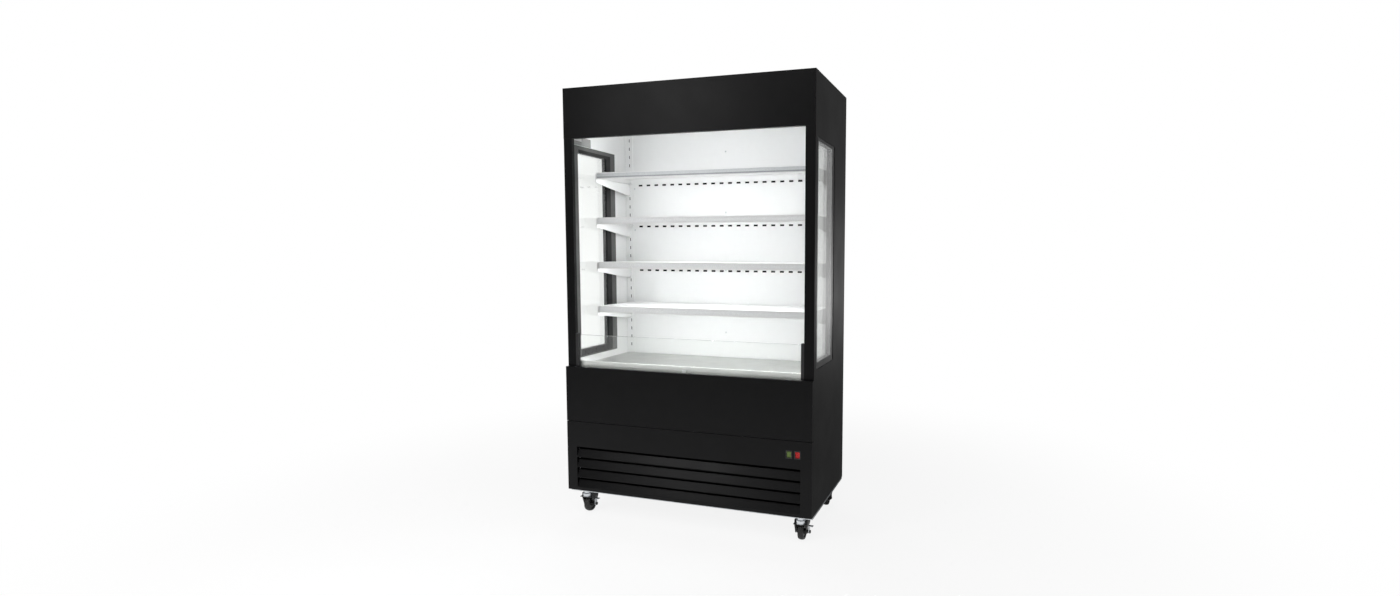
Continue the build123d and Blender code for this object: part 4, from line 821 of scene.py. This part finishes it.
@dataclass
class Cabinet:
    """What is fixed to the shell: screws, rivets, window seals, sealant, foam strips as painted shade and the
    lip's trim.
    """

    screw: tuple[float, float] = (4.5 * MM, 1.6 * MM)       # head radius and height
    rivet: tuple[float, float] = (4.0 * MM, 0.8 * MM)
    rivet_pitch: float = 170 * MM
    rivet_inset: float = 14 * MM
    rear: float = 250 * MM              # screws behind this hold the rear cover
    seal_radius: float = 1.2 * MM
    seal_gap: float = 0.2 * MM
    sealant_radius: float = 2.0 * MM
    sealant_inset: float = 0.6 * MM
    foot_gap: float = 30 * MM           # sealant and foam end above the uprights' feet
    # The black foam strips behind the uprights' slots, which paint shade in them.
    backing_inset: float = 4 * MM
    backing_width: float = 30 * MM
    backing_drop: float = 12 * MM       # behind the uprights' face, clear of the brackets' hooks
    backing_thickness: float = 3 * MM
    backing_edge: float = 0.5 * MM
    trim_radius: float = 2.0 * MM
    trim_end: float = 2 * MM
    trim_sink: float = 0.2 * MM

    def build(self, nodes: dict[str, bpy.types.Object]) -> None:
        """Make every fixed trim piece.

        Args:
            nodes: the CAD nodes by name.
        """
        self.screws(nodes["panel_screws"])
        self.rivets()
        self.window_seals()
        self.sealant()
        self.upright_backing()
        self.lip_trim()

    def screws(self, cad: bpy.types.Object) -> None:
        """Replace the plain CAD screws by heads with a cross recess.

        Args:
            cad: the CAD node whose shells mark the screws.
        """
        build = bmesh.new()
        build.from_mesh(cad.data)
        bmesh.ops.remove_doubles(build, verts=build.verts, dist=WELD_DISTANCE)
        left = set(build.verts)
        inside: list[Point] = []
        behind: list[Point] = []
        while left:
            shell, stack = [], [left.pop()]
            while stack:
                shell.append(stack.pop())
                linked = {edge.other_vert(shell[-1]) for edge in shell[-1].link_edges} & left
                left -= linked
                stack += linked
            low, high = (Vector([limit(v.co[i] for v in shell) for i in range(3)]) for limit in (min, max))
            middle = (low + high) / 2
            at_rear = middle.y > self.rear
            (behind if at_rear else inside).append((middle.x, low.y if at_rear else high.y, middle.z))
        build.free()
        head = Heads.cross_recess(*self.screw)
        for name, points, turn, replaced in (("back_panel_screws", inside, QUARTER, ("panel_screws",)),
                                             ("rear_cover_screws", behind, -QUARTER, ())):
            piece = Piece(name, "zinc", Palette.PASSIVATED, replaces=replaced)
            Repeater(piece).on_points(head, sorted(points), (turn, 0, 0))

    def rivets(self) -> None:
        """Set blind rivets round the rear wall."""
        low, high = corners("rear_panel")
        edge = self.rivet_inset
        wide, tall = high.x - low.x - 2 * edge, high.z - low.z - 2 * edge
        across, up = int(wide / self.rivet_pitch), int(tall / self.rivet_pitch)
        points: list[Point] = []
        for k in range(across + 1):
            x = low.x + edge + wide * k / across
            points += [(x, high.y, z) for z in (low.z + edge, high.z - edge)]
        for k in range(1, up):
            z = low.z + edge + tall * k / up
            points += [(x, high.y, z) for x in (low.x + edge, high.x - edge)]
        Repeater(Piece("rear_wall_rivets", "zinc", Palette.PASSIVATED)).on_points(
            Heads.dome(*self.rivet), points, (-QUARTER, 0, 0))

    def window_seals(self) -> None:
        """Lay rubber beads where the outer panes meet the skin."""
        runs = []
        for side in ("left", "right"):
            low, high = corners(f"side_glass_{side}")
            x = high.x if side == "right" else low.x
            front, back = low.y + self.seal_gap, high.y - self.seal_gap
            foot, top = low.z + self.seal_gap, high.z - self.seal_gap
            runs.append([(x, front, foot), (x, back, foot), (x, back, top), (x, front, top)])
        Repeater(Piece("window_seals", "black_plastic", Palette.SEAL)).bead(runs, self.seal_radius, True)

    def sealant(self) -> None:
        """Run white sealant up the corners beside the uprights, and under the ceiling."""
        low, high = corners("shelf_uprights")
        inset, y = self.sealant_inset, low.y - self.sealant_inset
        runs = [[(x, y, low.z + self.foot_gap), (x, y, high.z)] for x in (low.x + inset, high.x - inset)]
        runs.append([(low.x, y, high.z - inset), (high.x, y, high.z - inset)])
        piece = Piece("corner_sealant", "white_plastic", Palette.SEALANT)
        Repeater(piece).bead(runs, self.sealant_radius, False)

    def upright_backing(self) -> None:
        """Stand black foam behind the uprights' slots, as painted shade in them."""
        low, high = corners("shelf_uprights")
        front = low.y + self.backing_drop
        strips = []
        for outer, way in ((low.x, 1), (high.x, -1)):
            near = outer + way * self.backing_inset
            ends = sorted((near, near + way * self.backing_width))
            strips.append(((ends[0], front, low.z + self.foot_gap),
                           (ends[1], front + self.backing_thickness, high.z - self.backing_inset)))
        Piece("upright_backing", "black_plastic", Palette.SHADE_FOAM).boxes(strips, self.backing_edge)

    def lip_trim(self) -> None:
        """Push a polished edge trim over the return lip's front edge."""
        low, high = corners("return_air_grille")
        y, z = low.y + self.trim_radius, high.z - self.trim_sink
        run = [(low.x + self.trim_end, y, z), (high.x - self.trim_end, y, z)]
        piece = Piece("return_lip_trim", "satin_steel", Palette.POLISHED)
        Repeater(piece).bead([run], self.trim_radius, False)


@dataclass
class AirOutlet:
    """The honeycomb core that straightens the air curtain, and grey cheeks at its ends that paint the shade
    on the liners below it.
    """

    cell: float = 9 * MM                # across the flats
    wall: float = 0.94                  # a cell's own size as a share of its pitch
    thickness: float = 10 * MM
    end_gap: float = 4 * MM
    cheek_back: float = -104 * MM       # how far back the cheeks reach, on Y
    cheek_drop: float = 19.5 * MM       # below the outlet
    cheek_thickness: float = 1.2 * MM
    cheek_gap: float = 0.5 * MM         # to the outlet and the ceiling
    cheek_nose: float = 1.5 * MM        # behind the outlet's front
    cheek_clearance: float = 0.05 * MM  # to the liner

    def build(self) -> None:
        """Make the cheeks and fill the outlet with hexagonal tubes."""
        low, high = corners("air_outlet_grille")
        self.cheeks(low, high)
        x_from, x_to = low.x + self.end_gap, high.x - self.end_gap
        y_from, y_to = low.y + self.end_gap, high.y - self.end_gap
        row = self.cell * math.sqrt(3) / 2
        points = []
        for j in range(int((y_to - y_from) / row)):
            shift = self.cell / 2 if j % 2 else 0.0
            for i in range(int((x_to - x_from - shift) / self.cell)):
                points.append((x_from + shift + (i + 0.5) * self.cell, y_from + (j + 0.5) * row,
                               high.z - self.thickness / 2))
        maker = Repeater(Piece("outlet_honeycomb", "white_plastic", Palette.WHITE_PLASTIC))
        radius = maker.size("Cell Radius", "Float", self.wall * self.cell / math.sqrt(3))
        depth = maker.size("Depth", "Float", self.thickness)
        tube = add_node(maker.tree, "GeometryNodeMeshCylinder",
                        {"Vertices": 6, "Radius": radius, "Depth": depth}, fill_type="NONE")
        upright = add_node(maker.tree, "GeometryNodeTransform",
                           {"Geometry": tube, "Rotation": (0, 0, math.radians(30))})
        maker.run(add_node(maker.tree, "GeometryNodeInstanceOnPoints",
                           {"Points": maker.source.outputs[0], "Instance": upright}), points)

    def cheeks(self, low: Vector, high: Vector) -> None:
        """Set a grey cheek on each liner, below the outlet and behind it, as painted shade.

        Args:
            low: the outlet's lowest corner.
            high: its highest corner.
        """
        roof = corners("ceiling_duct")[0].z - self.cheek_gap
        nose, step, back = low.y + self.cheek_nose, low.z - self.cheek_gap, high.y + self.cheek_gap
        foot = low.z - self.cheek_drop
        outline = [(nose, foot), (self.cheek_back, foot), (self.cheek_back, roof), (back, roof), (back, step),
                   (nose, step)]
        for side, outer, way in (("left", low.x, 1), ("right", high.x, -1)):
            ends = sorted((outer + way * self.cheek_clearance, outer + way * self.cheek_thickness))
            Piece(f"outlet_cheek_{side}", "white_plastic", Palette.SHADE_CHEEK).drawn(outline, *ends)


@dataclass
class CanopyLamp:
    """The slim lamp behind the air outlet, which lights the top bay."""

    height: float = 18 * MM
    depth: float = 19 * MM
    rise: float = 5 * MM                # over the lip of the supply duct
    lip: float = 3 * MM
    lens_thickness: float = 1.6 * MM
    lens_inset: float = 0.5 * MM
    lens_bevel: float = 1.5 * MM
    clearance: float = 0.05 * MM        # to the outlet
    end_gap: float = 45 * MM

    def build(self) -> None:
        """Fix the housing and its lens to the front of the supply duct."""
        duct_low, duct_high = corners("ceiling_duct")
        back = corners("air_outlet_grille")[1].y + self.clearance
        foot, lip, thick = duct_low.z + self.rise, self.lip, self.lens_thickness
        top, nose = foot + self.height, back + self.depth
        x_from, x_to = duct_low.x + self.end_gap, duct_high.x - self.end_gap
        housing = [(back, foot), (back + lip, foot), (nose, top - lip), (nose, top), (back, top)]
        Piece("canopy_lamp_housing", "aluminium_fins", Palette.FINS).drawn(housing, x_from, x_to)
        inset, bevel = self.lens_inset, self.lens_bevel
        lens = [(back + lip + inset, foot + inset), (back + lip + bevel, foot - thick + inset),
                (nose + thick - inset, top - lip - bevel), (nose - inset, top - lip - inset)]
        Piece("canopy_lamp_lens", "light_lens", Palette.LENS).drawn(lens, x_from + lip, x_to - lip)


@dataclass
class LouvreShadeMat:
    """Black foam mat behind the louvres, held in a wire frame: painted shade in the louvres' slots."""

    thickness: float = 5 * MM
    gap: float = 32 * MM                # behind the panel's skin
    width: float = 1116 * MM
    foot: float = 134 * MM
    height: float = 212 * MM
    edge_radius: float = 1.2 * MM
    wire: float = 1.5 * MM
    wire_inset: float = 4 * MM

    def build(self) -> None:
        """Stand the mat and its frame behind the service panel."""
        front = corners("service_panel")[0].y + self.gap
        half, top = self.width / 2, self.foot + self.height
        mat = ((-half, front, self.foot), (half, front + self.thickness, top))
        Piece("louvre_filter", "black_plastic", Palette.SHADE_FOAM).boxes([mat], self.edge_radius)
        y, edge = front - self.wire, half - self.wire_inset
        low, high = self.foot + self.wire_inset, top - self.wire_inset
        run = [(-edge, y, low), (edge, y, low), (edge, y, high), (-edge, y, high)]
        Repeater(Piece("filter_frame", "zinc", Palette.ZINC)).bead([run], self.wire, True)


@dataclass
class ShelfSet:
    """Label holders, rail end caps and the lamps' channels, which ride on the shelves."""

    count: int = 4
    holder_thickness: float = 0.6 * MM
    holder_margin: float = 3 * MM
    holder_edge: float = 5 * MM             # below the rail's top and above its foot
    holder_front: float = 2.6 * MM          # behind the rail's foremost point
    holder_lean: float = 0.4 * MM
    lip_height: float = 6.5 * MM
    lip_reach: float = 2.2 * MM
    lip_rise: float = 0.2 * MM              # above the holder's foot
    lip_gap: float = 0.05 * MM
    shaded_rails: tuple[int, ...] = (1,)     # their holder and its lip are painted grey, as shade
    cap_thickness: float = 2.0 * MM
    cap_depth: float = 9 * MM
    cap_proud: tuple[float, ...] = (0.2 * MM, 0.6 * MM, 0.4 * MM, 0.3 * MM)     # side, front, foot, top
    cap_edge: float = 0.4 * MM
    channel_wall: float = 1.2 * MM
    channel_height: float = 7 * MM
    channel_gap: float = 0.1 * MM           # under the shelf
    channel_cap: tuple[float, float, float] = (2.5 * MM, 2 * MM, 0.6 * MM)      # length, rise, edge

    def build(self) -> None:
        """Fit out every shelf."""
        for number in range(1, self.count + 1):
            self.rail(number)
            self.lamp(number)

    def rail(self, number: int) -> None:
        """Clip a label holder with its card to the rail, and a cap on each of its ends.

        Args:
            number: which shelf, from the top.
        """
        body = f"shelf_{number}"
        low, high = corners(body)
        x_from, x_to = low.x + self.holder_margin, high.x - self.holder_margin
        bottom, top = low.z + self.holder_edge, high.z - self.holder_edge
        front, thick, lean = low.y + self.holder_front, self.holder_thickness, self.holder_lean
        lip_front, lip_back = front - self.lip_reach, front - thick - self.lip_gap
        lip_low, lip_high = bottom + self.lip_rise, bottom + self.lip_height
        lip = [(lip_back, lip_low), (lip_front, lip_low), (lip_front, lip_high), (lip_back, lip_high)]
        strip = [(front, bottom), (front - thick, bottom), (front + lean - thick, top), (front + lean, top)]
        # On the shaded rails the holder and its lip get painted shade, grey and darker grey, in place of the
        # white card.
        empty = number in self.shaded_rails
        for name, finish, profile in (("label_holder_lip", Palette.SHADOW_LIP, lip),
                                      ("label_strip", Palette.SHADED_STRIP, strip)):
            piece = Piece(f"{name}_{number}", "white_plastic", finish if empty else Palette.LABEL, body)
            piece.drawn(profile, x_from, x_to)
        side, nose, foot, head = self.cap_proud
        caps = []
        for outer, way in ((low.x, 1), (high.x, -1)):
            ends = sorted((outer - way * side, outer + way * self.cap_thickness))
            caps.append(((ends[0], low.y - nose, low.z - foot),
                         (ends[1], low.y + self.cap_depth, high.z + head)))
        Piece(f"rail_caps_{number}", "white_plastic", Palette.WHITE_PLASTIC, body).boxes(caps, self.cap_edge)

    def lamp(self, number: int) -> None:
        """Close an aluminium channel round the lens, with an end cap on each side.

        Args:
            number: which shelf, from the top.
        """
        body = f"shelf_{number}"
        low, high = corners(f"shelf_light_{number}")
        front, back = low.y - self.channel_wall, high.y + self.channel_wall
        skirt, roof = high.z - self.channel_height, high.z - self.channel_gap
        for name, near, far in (("front", front, low.y), ("back", high.y, back)):
            wall = [(near, skirt), (far, skirt), (far, roof), (near, roof)]
            piece = Piece(f"lamp_channel_{name}_{number}", "aluminium_fins", Palette.FINS, body)
            piece.drawn(wall, low.x, high.x)
        length, rise, edge = self.channel_cap
        caps = [((x, front, low.z + rise), (x + length, back, roof)) for x in (low.x - length, high.x)]
        Piece(f"lamp_caps_{number}", "white_plastic", Palette.WHITE_PLASTIC, body).boxes(caps, edge)


@dataclass
class Refrigeration:
    """Fins at their real spacing, and the weld bead of the compressor's shell."""

    fin_pitch: float = 4 * MM
    fin_thickness: float = 0.4 * MM
    proud: float = 0.4 * MM
    fin_margin: float = 5 * MM
    condenser_fin_height: float = 290 * MM
    evaporator_fin_height: float = 140 * MM
    shell_radius: float = 80 * MM
    shell_offset: float = 100 * MM      # from the compressor's left end to its shell's axis
    weld_height: float = 122.5 * MM     # over the compressor's feet
    weld_reach: float = 6 * MM          # the bead's outermost edge, from the shell's radius
    weld_half: float = 1.5 * MM
    weld_depth: float = 2 * MM
    weld_segments: int = 64

    def build(self) -> None:
        """Make the fins of both coils and the compressor's weld bead."""
        self.fins("condenser_coil", self.condenser_fin_height)
        self.fins("evaporator_coil", self.evaporator_fin_height)
        self.weld()

    def fins(self, coil: str, tall: float) -> None:
        """Set thin fins over a coil's front and back.

        Args:
            coil: the CAD node.
            tall: the fins' height, from the coil's top down.
        """
        low, high = corners(coil)
        count = int((high.x - low.x - 2 * self.fin_margin) / self.fin_pitch)
        size = (self.fin_thickness, high.y - low.y + 2 * self.proud, tall + self.proud)
        start = (low.x + self.fin_margin, (low.y + high.y) / 2, high.z - tall / 2)
        # NODE_FINISH gives the condenser's fins black, as painted shade behind the louvres.
        piece = Piece(f"{coil}_fins", "aluminium_fins", NODE_FINISH.get(coil, Palette.FINS))
        Repeater(piece).plates(size, start, (self.fin_pitch, 0, 0), count)

    def weld(self) -> None:
        """Run the weld bead round the compressor's shell."""
        low, high = corners("compressor")
        place = (low.x + self.shell_offset, (low.y + high.y) / 2, low.z + self.weld_height)
        crest, half, deep = self.shell_radius + self.weld_reach, self.weld_half, self.weld_depth
        ring = [(crest - deep, -half), (crest, 0), (crest - deep, half), (crest - 1.5 * deep, 0)]
        piece = Piece("compressor_weld", "black_enamel", Palette.ENAMEL)
        piece.place(turned(ring, Matrix.Translation(place), self.weld_segments))


@dataclass
class CastorSet:
    """Bolts, ball race lips and thread guards of the castors."""

    bolt_spacing: float = 42 * MM
    bolt: tuple[float, float, float] = (5.2 * MM, 3.2 * MM, 6.4 * MM)   # corner radius, height, washer
    plate_thickness: float = 3 * MM
    trail: float = 24 * MM              # from the swivel axis back to the axle
    race_radius: float = 20 * MM
    race_drop: float = 31.6 * MM        # from the plate's underside to the lip's lower edge
    lip: float = 1.6 * MM
    lip_height: float = 2.4 * MM
    lip_slope: float = 1 * MM
    clearance: float = 0.1 * MM
    web_half: float = 6.25 * MM         # half the thickness of the wheel's web
    guard: tuple[float, float] = (12.8 * MM, 25.1 * MM)     # inner and outer radius
    guard_heights: tuple[float, float, float] = (-1 * MM, 1.2 * MM, 3.2 * MM)   # seat, rim and face
    guard_slope: float = 3 * MM
    segments: int = 40                  # steps round a lip or guard

    def build(self) -> None:
        """Fit out every castor."""
        plate = corners("castor_plates")[1].z - self.plate_thickness
        half = self.bolt_spacing / 2
        bolts: list[Point] = []
        for place in ("front_left", "front_right", "rear_left", "rear_right"):
            low, high = corners(f"castor_wheel_{place}")
            centre = (low + high) / 2
            axis = Vector((centre.x, centre.y - self.trail, plate))
            bolts += [(axis.x + i * half, axis.y + j * half, plate) for i in (-1, 1) for j in (-1, 1)]
            self.race(place, axis)
            self.thread_guards(place, centre)
        bolt = Piece("castor_bolts", "zinc", Palette.ZINC)
        Repeater(bolt).on_points(Heads.hexagon(*self.bolt), bolts, (math.pi, 0, 0))

    def race(self, place: str, axis: Vector) -> None:
        """Put the dust lip of the ball race over the fork's crown.

        Args:
            place: which castor.
            axis: where the swivel axis meets the plate.
        """
        inner, outer, tall = self.race_radius - self.clearance, self.race_radius + self.lip, self.lip_height
        ring = [(inner, 0), (outer, 0), (outer, tall / 2), (outer - self.lip_slope, tall), (inner, tall)]
        foot = Matrix.Translation((axis.x, axis.y, axis.z - self.race_drop))
        Piece(f"race_lip_{place}", "zinc", Palette.ZINC).place(turned(ring, foot, self.segments))

    def thread_guards(self, place: str, centre: Vector) -> None:
        """Put a thread guard over each side of the wheel's web.

        Args:
            place: which castor.
            centre: the wheel's middle.
        """
        inner, outer = self.guard
        seat, rim, face = self.guard_heights
        ring = [(inner, seat), (outer, seat), (outer, rim), (outer - self.guard_slope, face),
                (inner + self.guard_slope, face), (inner, rim)]
        build = bmesh.new()
        for way in (-1, 1):
            web = Matrix.Translation(centre + Vector((way * self.web_half, 0, 0)))
            part = turned(ring, web @ Matrix.Rotation(way * QUARTER, 4, "Y"), self.segments)
            build.from_mesh(part)
            bpy.data.meshes.remove(part)
        body = f"castor_wheel_{place}"
        Piece(f"thread_guards_{place}", "black_plastic", Palette.BLACK_PLASTIC, body).place(closed(build))


# ---------------------------------------------------------------------------------------------
# Studio
# ---------------------------------------------------------------------------------------------


# What the room's light depends on, as inputs of the Map Range node. The world's directions have a
# length of 1, and the floor's places are in metres.
REARWARD = {"From Min": -0.45, "From Max": 0.45}        # direction's Y, from the viewer to the rear
UPWARD = {"From Min": 0.3, "From Max": 0.75}            # direction's Z, above which the ceiling glows
HORIZON = {"From Min": 0.1, "From Max": -0.08}          # direction's Z, where gloss meets the backdrop
FLOOR_FADE = {"From Min": 0.9, "From Max": 3.0}         # where the floor turns white to the eye
FLOOR_FRONT = {"From Min": 0.2, "From Max": -0.4}       # Y, where the bright front floor starts
FLOOR_CLOSE = {"From Min": 5.0, "From Max": 2.2}        # how near the bright floor lies
FLOOR_FAR = {"From Min": 3.0, "From Max": 12.0}         # where gloss sees it merge with the backdrop


@dataclass(frozen=True)
class Softbox:
    """A soft area lamp, which the camera doesn't see."""

    name: str
    place: Point
    aim: Point
    width: float
    height: float
    watts: float

    def build(self) -> None:
        """Hang the lamp."""
        lamp = bpy.data.lights.new(self.name, "AREA")
        lamp.shape = "RECTANGLE"
        lamp.size, lamp.size_y, lamp.energy = self.width, self.height, self.watts
        obj = bpy.data.objects.new(self.name, lamp)
        way = Vector(self.aim) - Vector(self.place)
        obj.location = self.place
        obj.rotation_euler = way.to_track_quat("-Z", "Y").to_euler()
        obj.visible_camera = obj.visible_transmission = False
        bpy.context.scene.collection.objects.link(obj)


@dataclass
class Studio:
    """Pale room, soft lamps and the camera of the photograph."""

    focal_pixels: float = 687.76
    image_width: float = 1400.0
    image_height: float = 596.0
    principal: tuple[float, float] = (776.24, 309.02)
    camera_place: Point = (1.3306, -3.0368, 1.2559)
    yaw: float = math.radians(18.018)       # turned left of straight on
    pitch: float = math.radians(4.719)      # looking down
    roll: float = math.radians(0.19)
    sensor: float = 36.0
    clip: tuple[float, float] = (0.05, 100.0)
    room_light: float = 0.5                 # from above
    rear_share: float = 0.5                 # how much of that comes from above the rear half
    back_light: float = 0.2                 # from the walls behind and beside the cabinet
    front_light: float = 0.05               # the dim side of the room, behind the viewer
    mirror_share: float = 0.85              # how much of the white backdrop gloss sees
    floor_half: float = 14.0
    floor_tone: str = "f4f4f4"
    floor_gloss: tuple[float, float] = (0.15, 1.12)     # what gloss sees of it behind and in front
    near_floor: float = 0.86                # how white the floor is to the eye beside the castors
    lamps: tuple[Softbox, ...] = (
        Softbox("overhead", (0.2, -2.9, 4.2), (0, -0.2, 1.1), 3.4, 1.8, 52.0),
        Softbox("front_glow", (-1.22, -2.6, 2.38), (0, -0.3, 1.75), 0.7, 1.0, 13.0),
        Softbox("floor_pool", (-0.85, -1.9, 1.3), (-0.85, -1.9, 0.0), 0.4, 0.4, 13.0),
        Softbox("right_fill", (4.2, -0.6, 2.4), (0.6, 0, 1.1), 2.4, 2.6, 14.0),
        Softbox("rear_fill", (-2.6, 4.2, 3.0), (0, 0.3, 1.0), 2.6, 2.0, 60.0),
    )

    def build(self) -> None:
        """Set up the room, the lamps and the camera."""
        bpy.context.scene.view_settings.view_transform = "Standard"
        self.camera()
        self.room()
        self.floor()
        for lamp in self.lamps:
            lamp.build()

    def camera(self) -> None:
        """Place the camera where the photograph was taken from."""
        data = bpy.data.cameras.new("photo_camera")
        data.sensor_fit = "HORIZONTAL"
        data.sensor_width = self.sensor
        data.lens = self.sensor * self.focal_pixels / self.image_width
        data.shift_x = (self.image_width / 2 - self.principal[0]) / self.image_width
        data.shift_y = (self.principal[1] - self.image_height / 2) / self.image_width
        data.clip_start, data.clip_end = self.clip
        level = Vector((math.cos(self.yaw), math.sin(self.yaw), 0))
        ahead = Vector((-math.sin(self.yaw) * math.cos(self.pitch), math.cos(self.yaw) * math.cos(self.pitch),
                        -math.sin(self.pitch)))
        above = level.cross(ahead)
        right = math.cos(self.roll) * level + math.sin(self.roll) * above
        up = math.cos(self.roll) * above - math.sin(self.roll) * level
        obj = bpy.data.objects.new("photo_camera", data)
        turn = Matrix((right, up, -ahead)).transposed().to_4x4()
        obj.matrix_world = Matrix.Translation(self.camera_place) @ turn
        bpy.context.scene.collection.objects.link(obj)
        bpy.context.scene.camera = obj

    def room(self) -> None:
        """Make a room that is white to the eye, but dimmer in front for light and gloss."""
        world = bpy.data.worlds.new("pale_room")
        bpy.context.scene.world = world
        world.use_nodes = True
        tree = world.node_tree
        tree.nodes.clear()
        place = add_node(tree, "ShaderNodeTexCoord").outputs["Generated"]
        way = add_node(tree, "ShaderNodeSeparateXYZ", {"Vector": place}).outputs
        path = add_node(tree, "ShaderNodeLightPath").outputs
        behind = add_node(tree, RANGE, {"Value": way["Y"], **REARWARD}, **SMOOTH)
        above = add_node(tree, RANGE, {"Value": way["Z"], **UPWARD}, **SMOOTH)
        low = add_node(tree, RANGE, {"Value": way["Z"], **HORIZON, "To Max": self.mirror_share}, **SMOOTH)
        walls = add_node(tree, RANGE, {"Value": behind, "To Min": self.front_light,
                                       "To Max": self.back_light})
        level = add_node(tree, RANGE, {"Value": behind, "To Min": self.room_light,
                                       "To Max": self.rear_share * self.room_light})
        sky = add_node(tree, MATH, {0: above, 1: level}, operation="MULTIPLY")
        lit = add_node(tree, MATH, {0: walls, 1: sky}, operation="MAXIMUM")
        soft = add_node(tree, "ShaderNodeBackground", {"Color": WHITE, "Strength": lit})
        white = add_node(tree, "ShaderNodeBackground", {"Color": WHITE, "Strength": 1.0})
        backdrop = add_node(tree, MATH, {0: behind, 1: low}, operation="MULTIPLY")
        mirrored = add_node(tree, MATH, {0: path["Is Glossy Ray"], 1: backdrop}, operation="MULTIPLY")
        passed = add_node(tree, MATH, {0: path["Is Transmission Ray"], 1: mirrored}, operation="MAXIMUM")
        seen = add_node(tree, MATH, {0: path["Is Camera Ray"], 1: passed}, operation="MAXIMUM")
        mix = add_node(tree, "ShaderNodeMixShader", {0: seen, 1: soft, 2: white})
        add_node(tree, "ShaderNodeOutputWorld", {"Surface": mix})

    def floor(self) -> None:
        """Lay a pale floor that keeps the cabinet's shadow and fades into the white room."""
        half = self.floor_half
        mesh = bpy.data.meshes.new("studio_floor")
        mesh.from_pydata([(-half, -half, 0), (half, -half, 0), (half, half, 0), (-half, half, 0)], [],
                         [(0, 1, 2, 3)])
        material = bpy.data.materials.new("pale_floor")
        material.use_nodes = True
        tree = material.node_tree
        tree.nodes.clear()
        place = add_node(tree, "ShaderNodeTexCoord").outputs["Object"]
        path = add_node(tree, "ShaderNodeLightPath").outputs
        deep = add_node(tree, "ShaderNodeSeparateXYZ", {"Vector": place}).outputs["Y"]
        reach = add_node(tree, "ShaderNodeVectorMath", {0: place}, operation="LENGTH")
        matt = add_node(tree, "ShaderNodeBsdfDiffuse", {"Color": linear(self.floor_tone)})
        glow = add_node(tree, "ShaderNodeEmission", {"Color": WHITE, "Strength": 1.0})
        fade = add_node(tree, RANGE, {"Value": reach, **FLOOR_FADE, "To Min": self.near_floor}, **SMOOTH)
        seen = add_node(tree, MATH, {0: path["Is Camera Ray"], 1: path["Is Transmission Ray"]},
                        operation="MAXIMUM")
        share = add_node(tree, MATH, {0: fade, 1: seen}, operation="MULTIPLY")
        mix = add_node(tree, "ShaderNodeMixShader", {0: share, 1: matt, 2: glow})
        near = add_node(tree, RANGE, {"Value": deep, **FLOOR_FRONT}, **SMOOTH)
        close = add_node(tree, RANGE, {"Value": reach, **FLOOR_CLOSE, "To Max": self.floor_gloss[1]},
                         **SMOOTH)
        ahead = add_node(tree, MATH, {0: near, 1: close}, operation="MULTIPLY")
        away = add_node(tree, RANGE, {"Value": reach, **FLOOR_FAR, "To Min": self.floor_gloss[0],
                                      "To Max": self.mirror_share}, **SMOOTH)
        level = add_node(tree, MATH, {0: ahead, 1: away}, operation="MAXIMUM")
        sheen = add_node(tree, "ShaderNodeEmission", {"Color": WHITE, "Strength": level})
        # A ray that passed through glass counts as glossy too, and already sees the white floor.
        mirror = add_node(tree, MATH, {0: path["Is Glossy Ray"], 1: path["Is Transmission Ray"]},
                          operation="SUBTRACT", use_clamp=True)
        surface = add_node(tree, "ShaderNodeMixShader", {0: mirror, 1: mix, 2: sheen})
        add_node(tree, "ShaderNodeOutputMaterial", {"Surface": surface})
        mesh.materials.append(material)
        obj = bpy.data.objects.new("studio_floor", mesh)
        bpy.context.scene.collection.objects.link(obj)


def dress_nodes(frame: dict) -> None:
    """Give every CAD node the finish of its material slot.
    """
    slots = {row["node"]: row["material_slot"] for row in frame["record"]["subparts"]}
    for name, obj in frame["nodes"].items():
        finish = NODE_FINISH.get(name, SLOT_FINISH[slots[name]])
        for entry in obj.material_slots:
            entry.material = finish.material()


def main() -> None:
    """Load the frame, dress it, add the fitted pieces and set up the studio."""
    logging.basicConfig(level=logging.INFO, format="%(name)s: %(message)s")
    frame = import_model()
    Studio().build()
    dress_nodes(frame)
    Cabinet().build(frame["nodes"])
    for assembly in (AirOutlet(), CanopyLamp(), LouvreShadeMat(), ShelfSet(), Refrigeration(), CastorSet()):
        assembly.build()


if __name__ == "__main__":
    main()
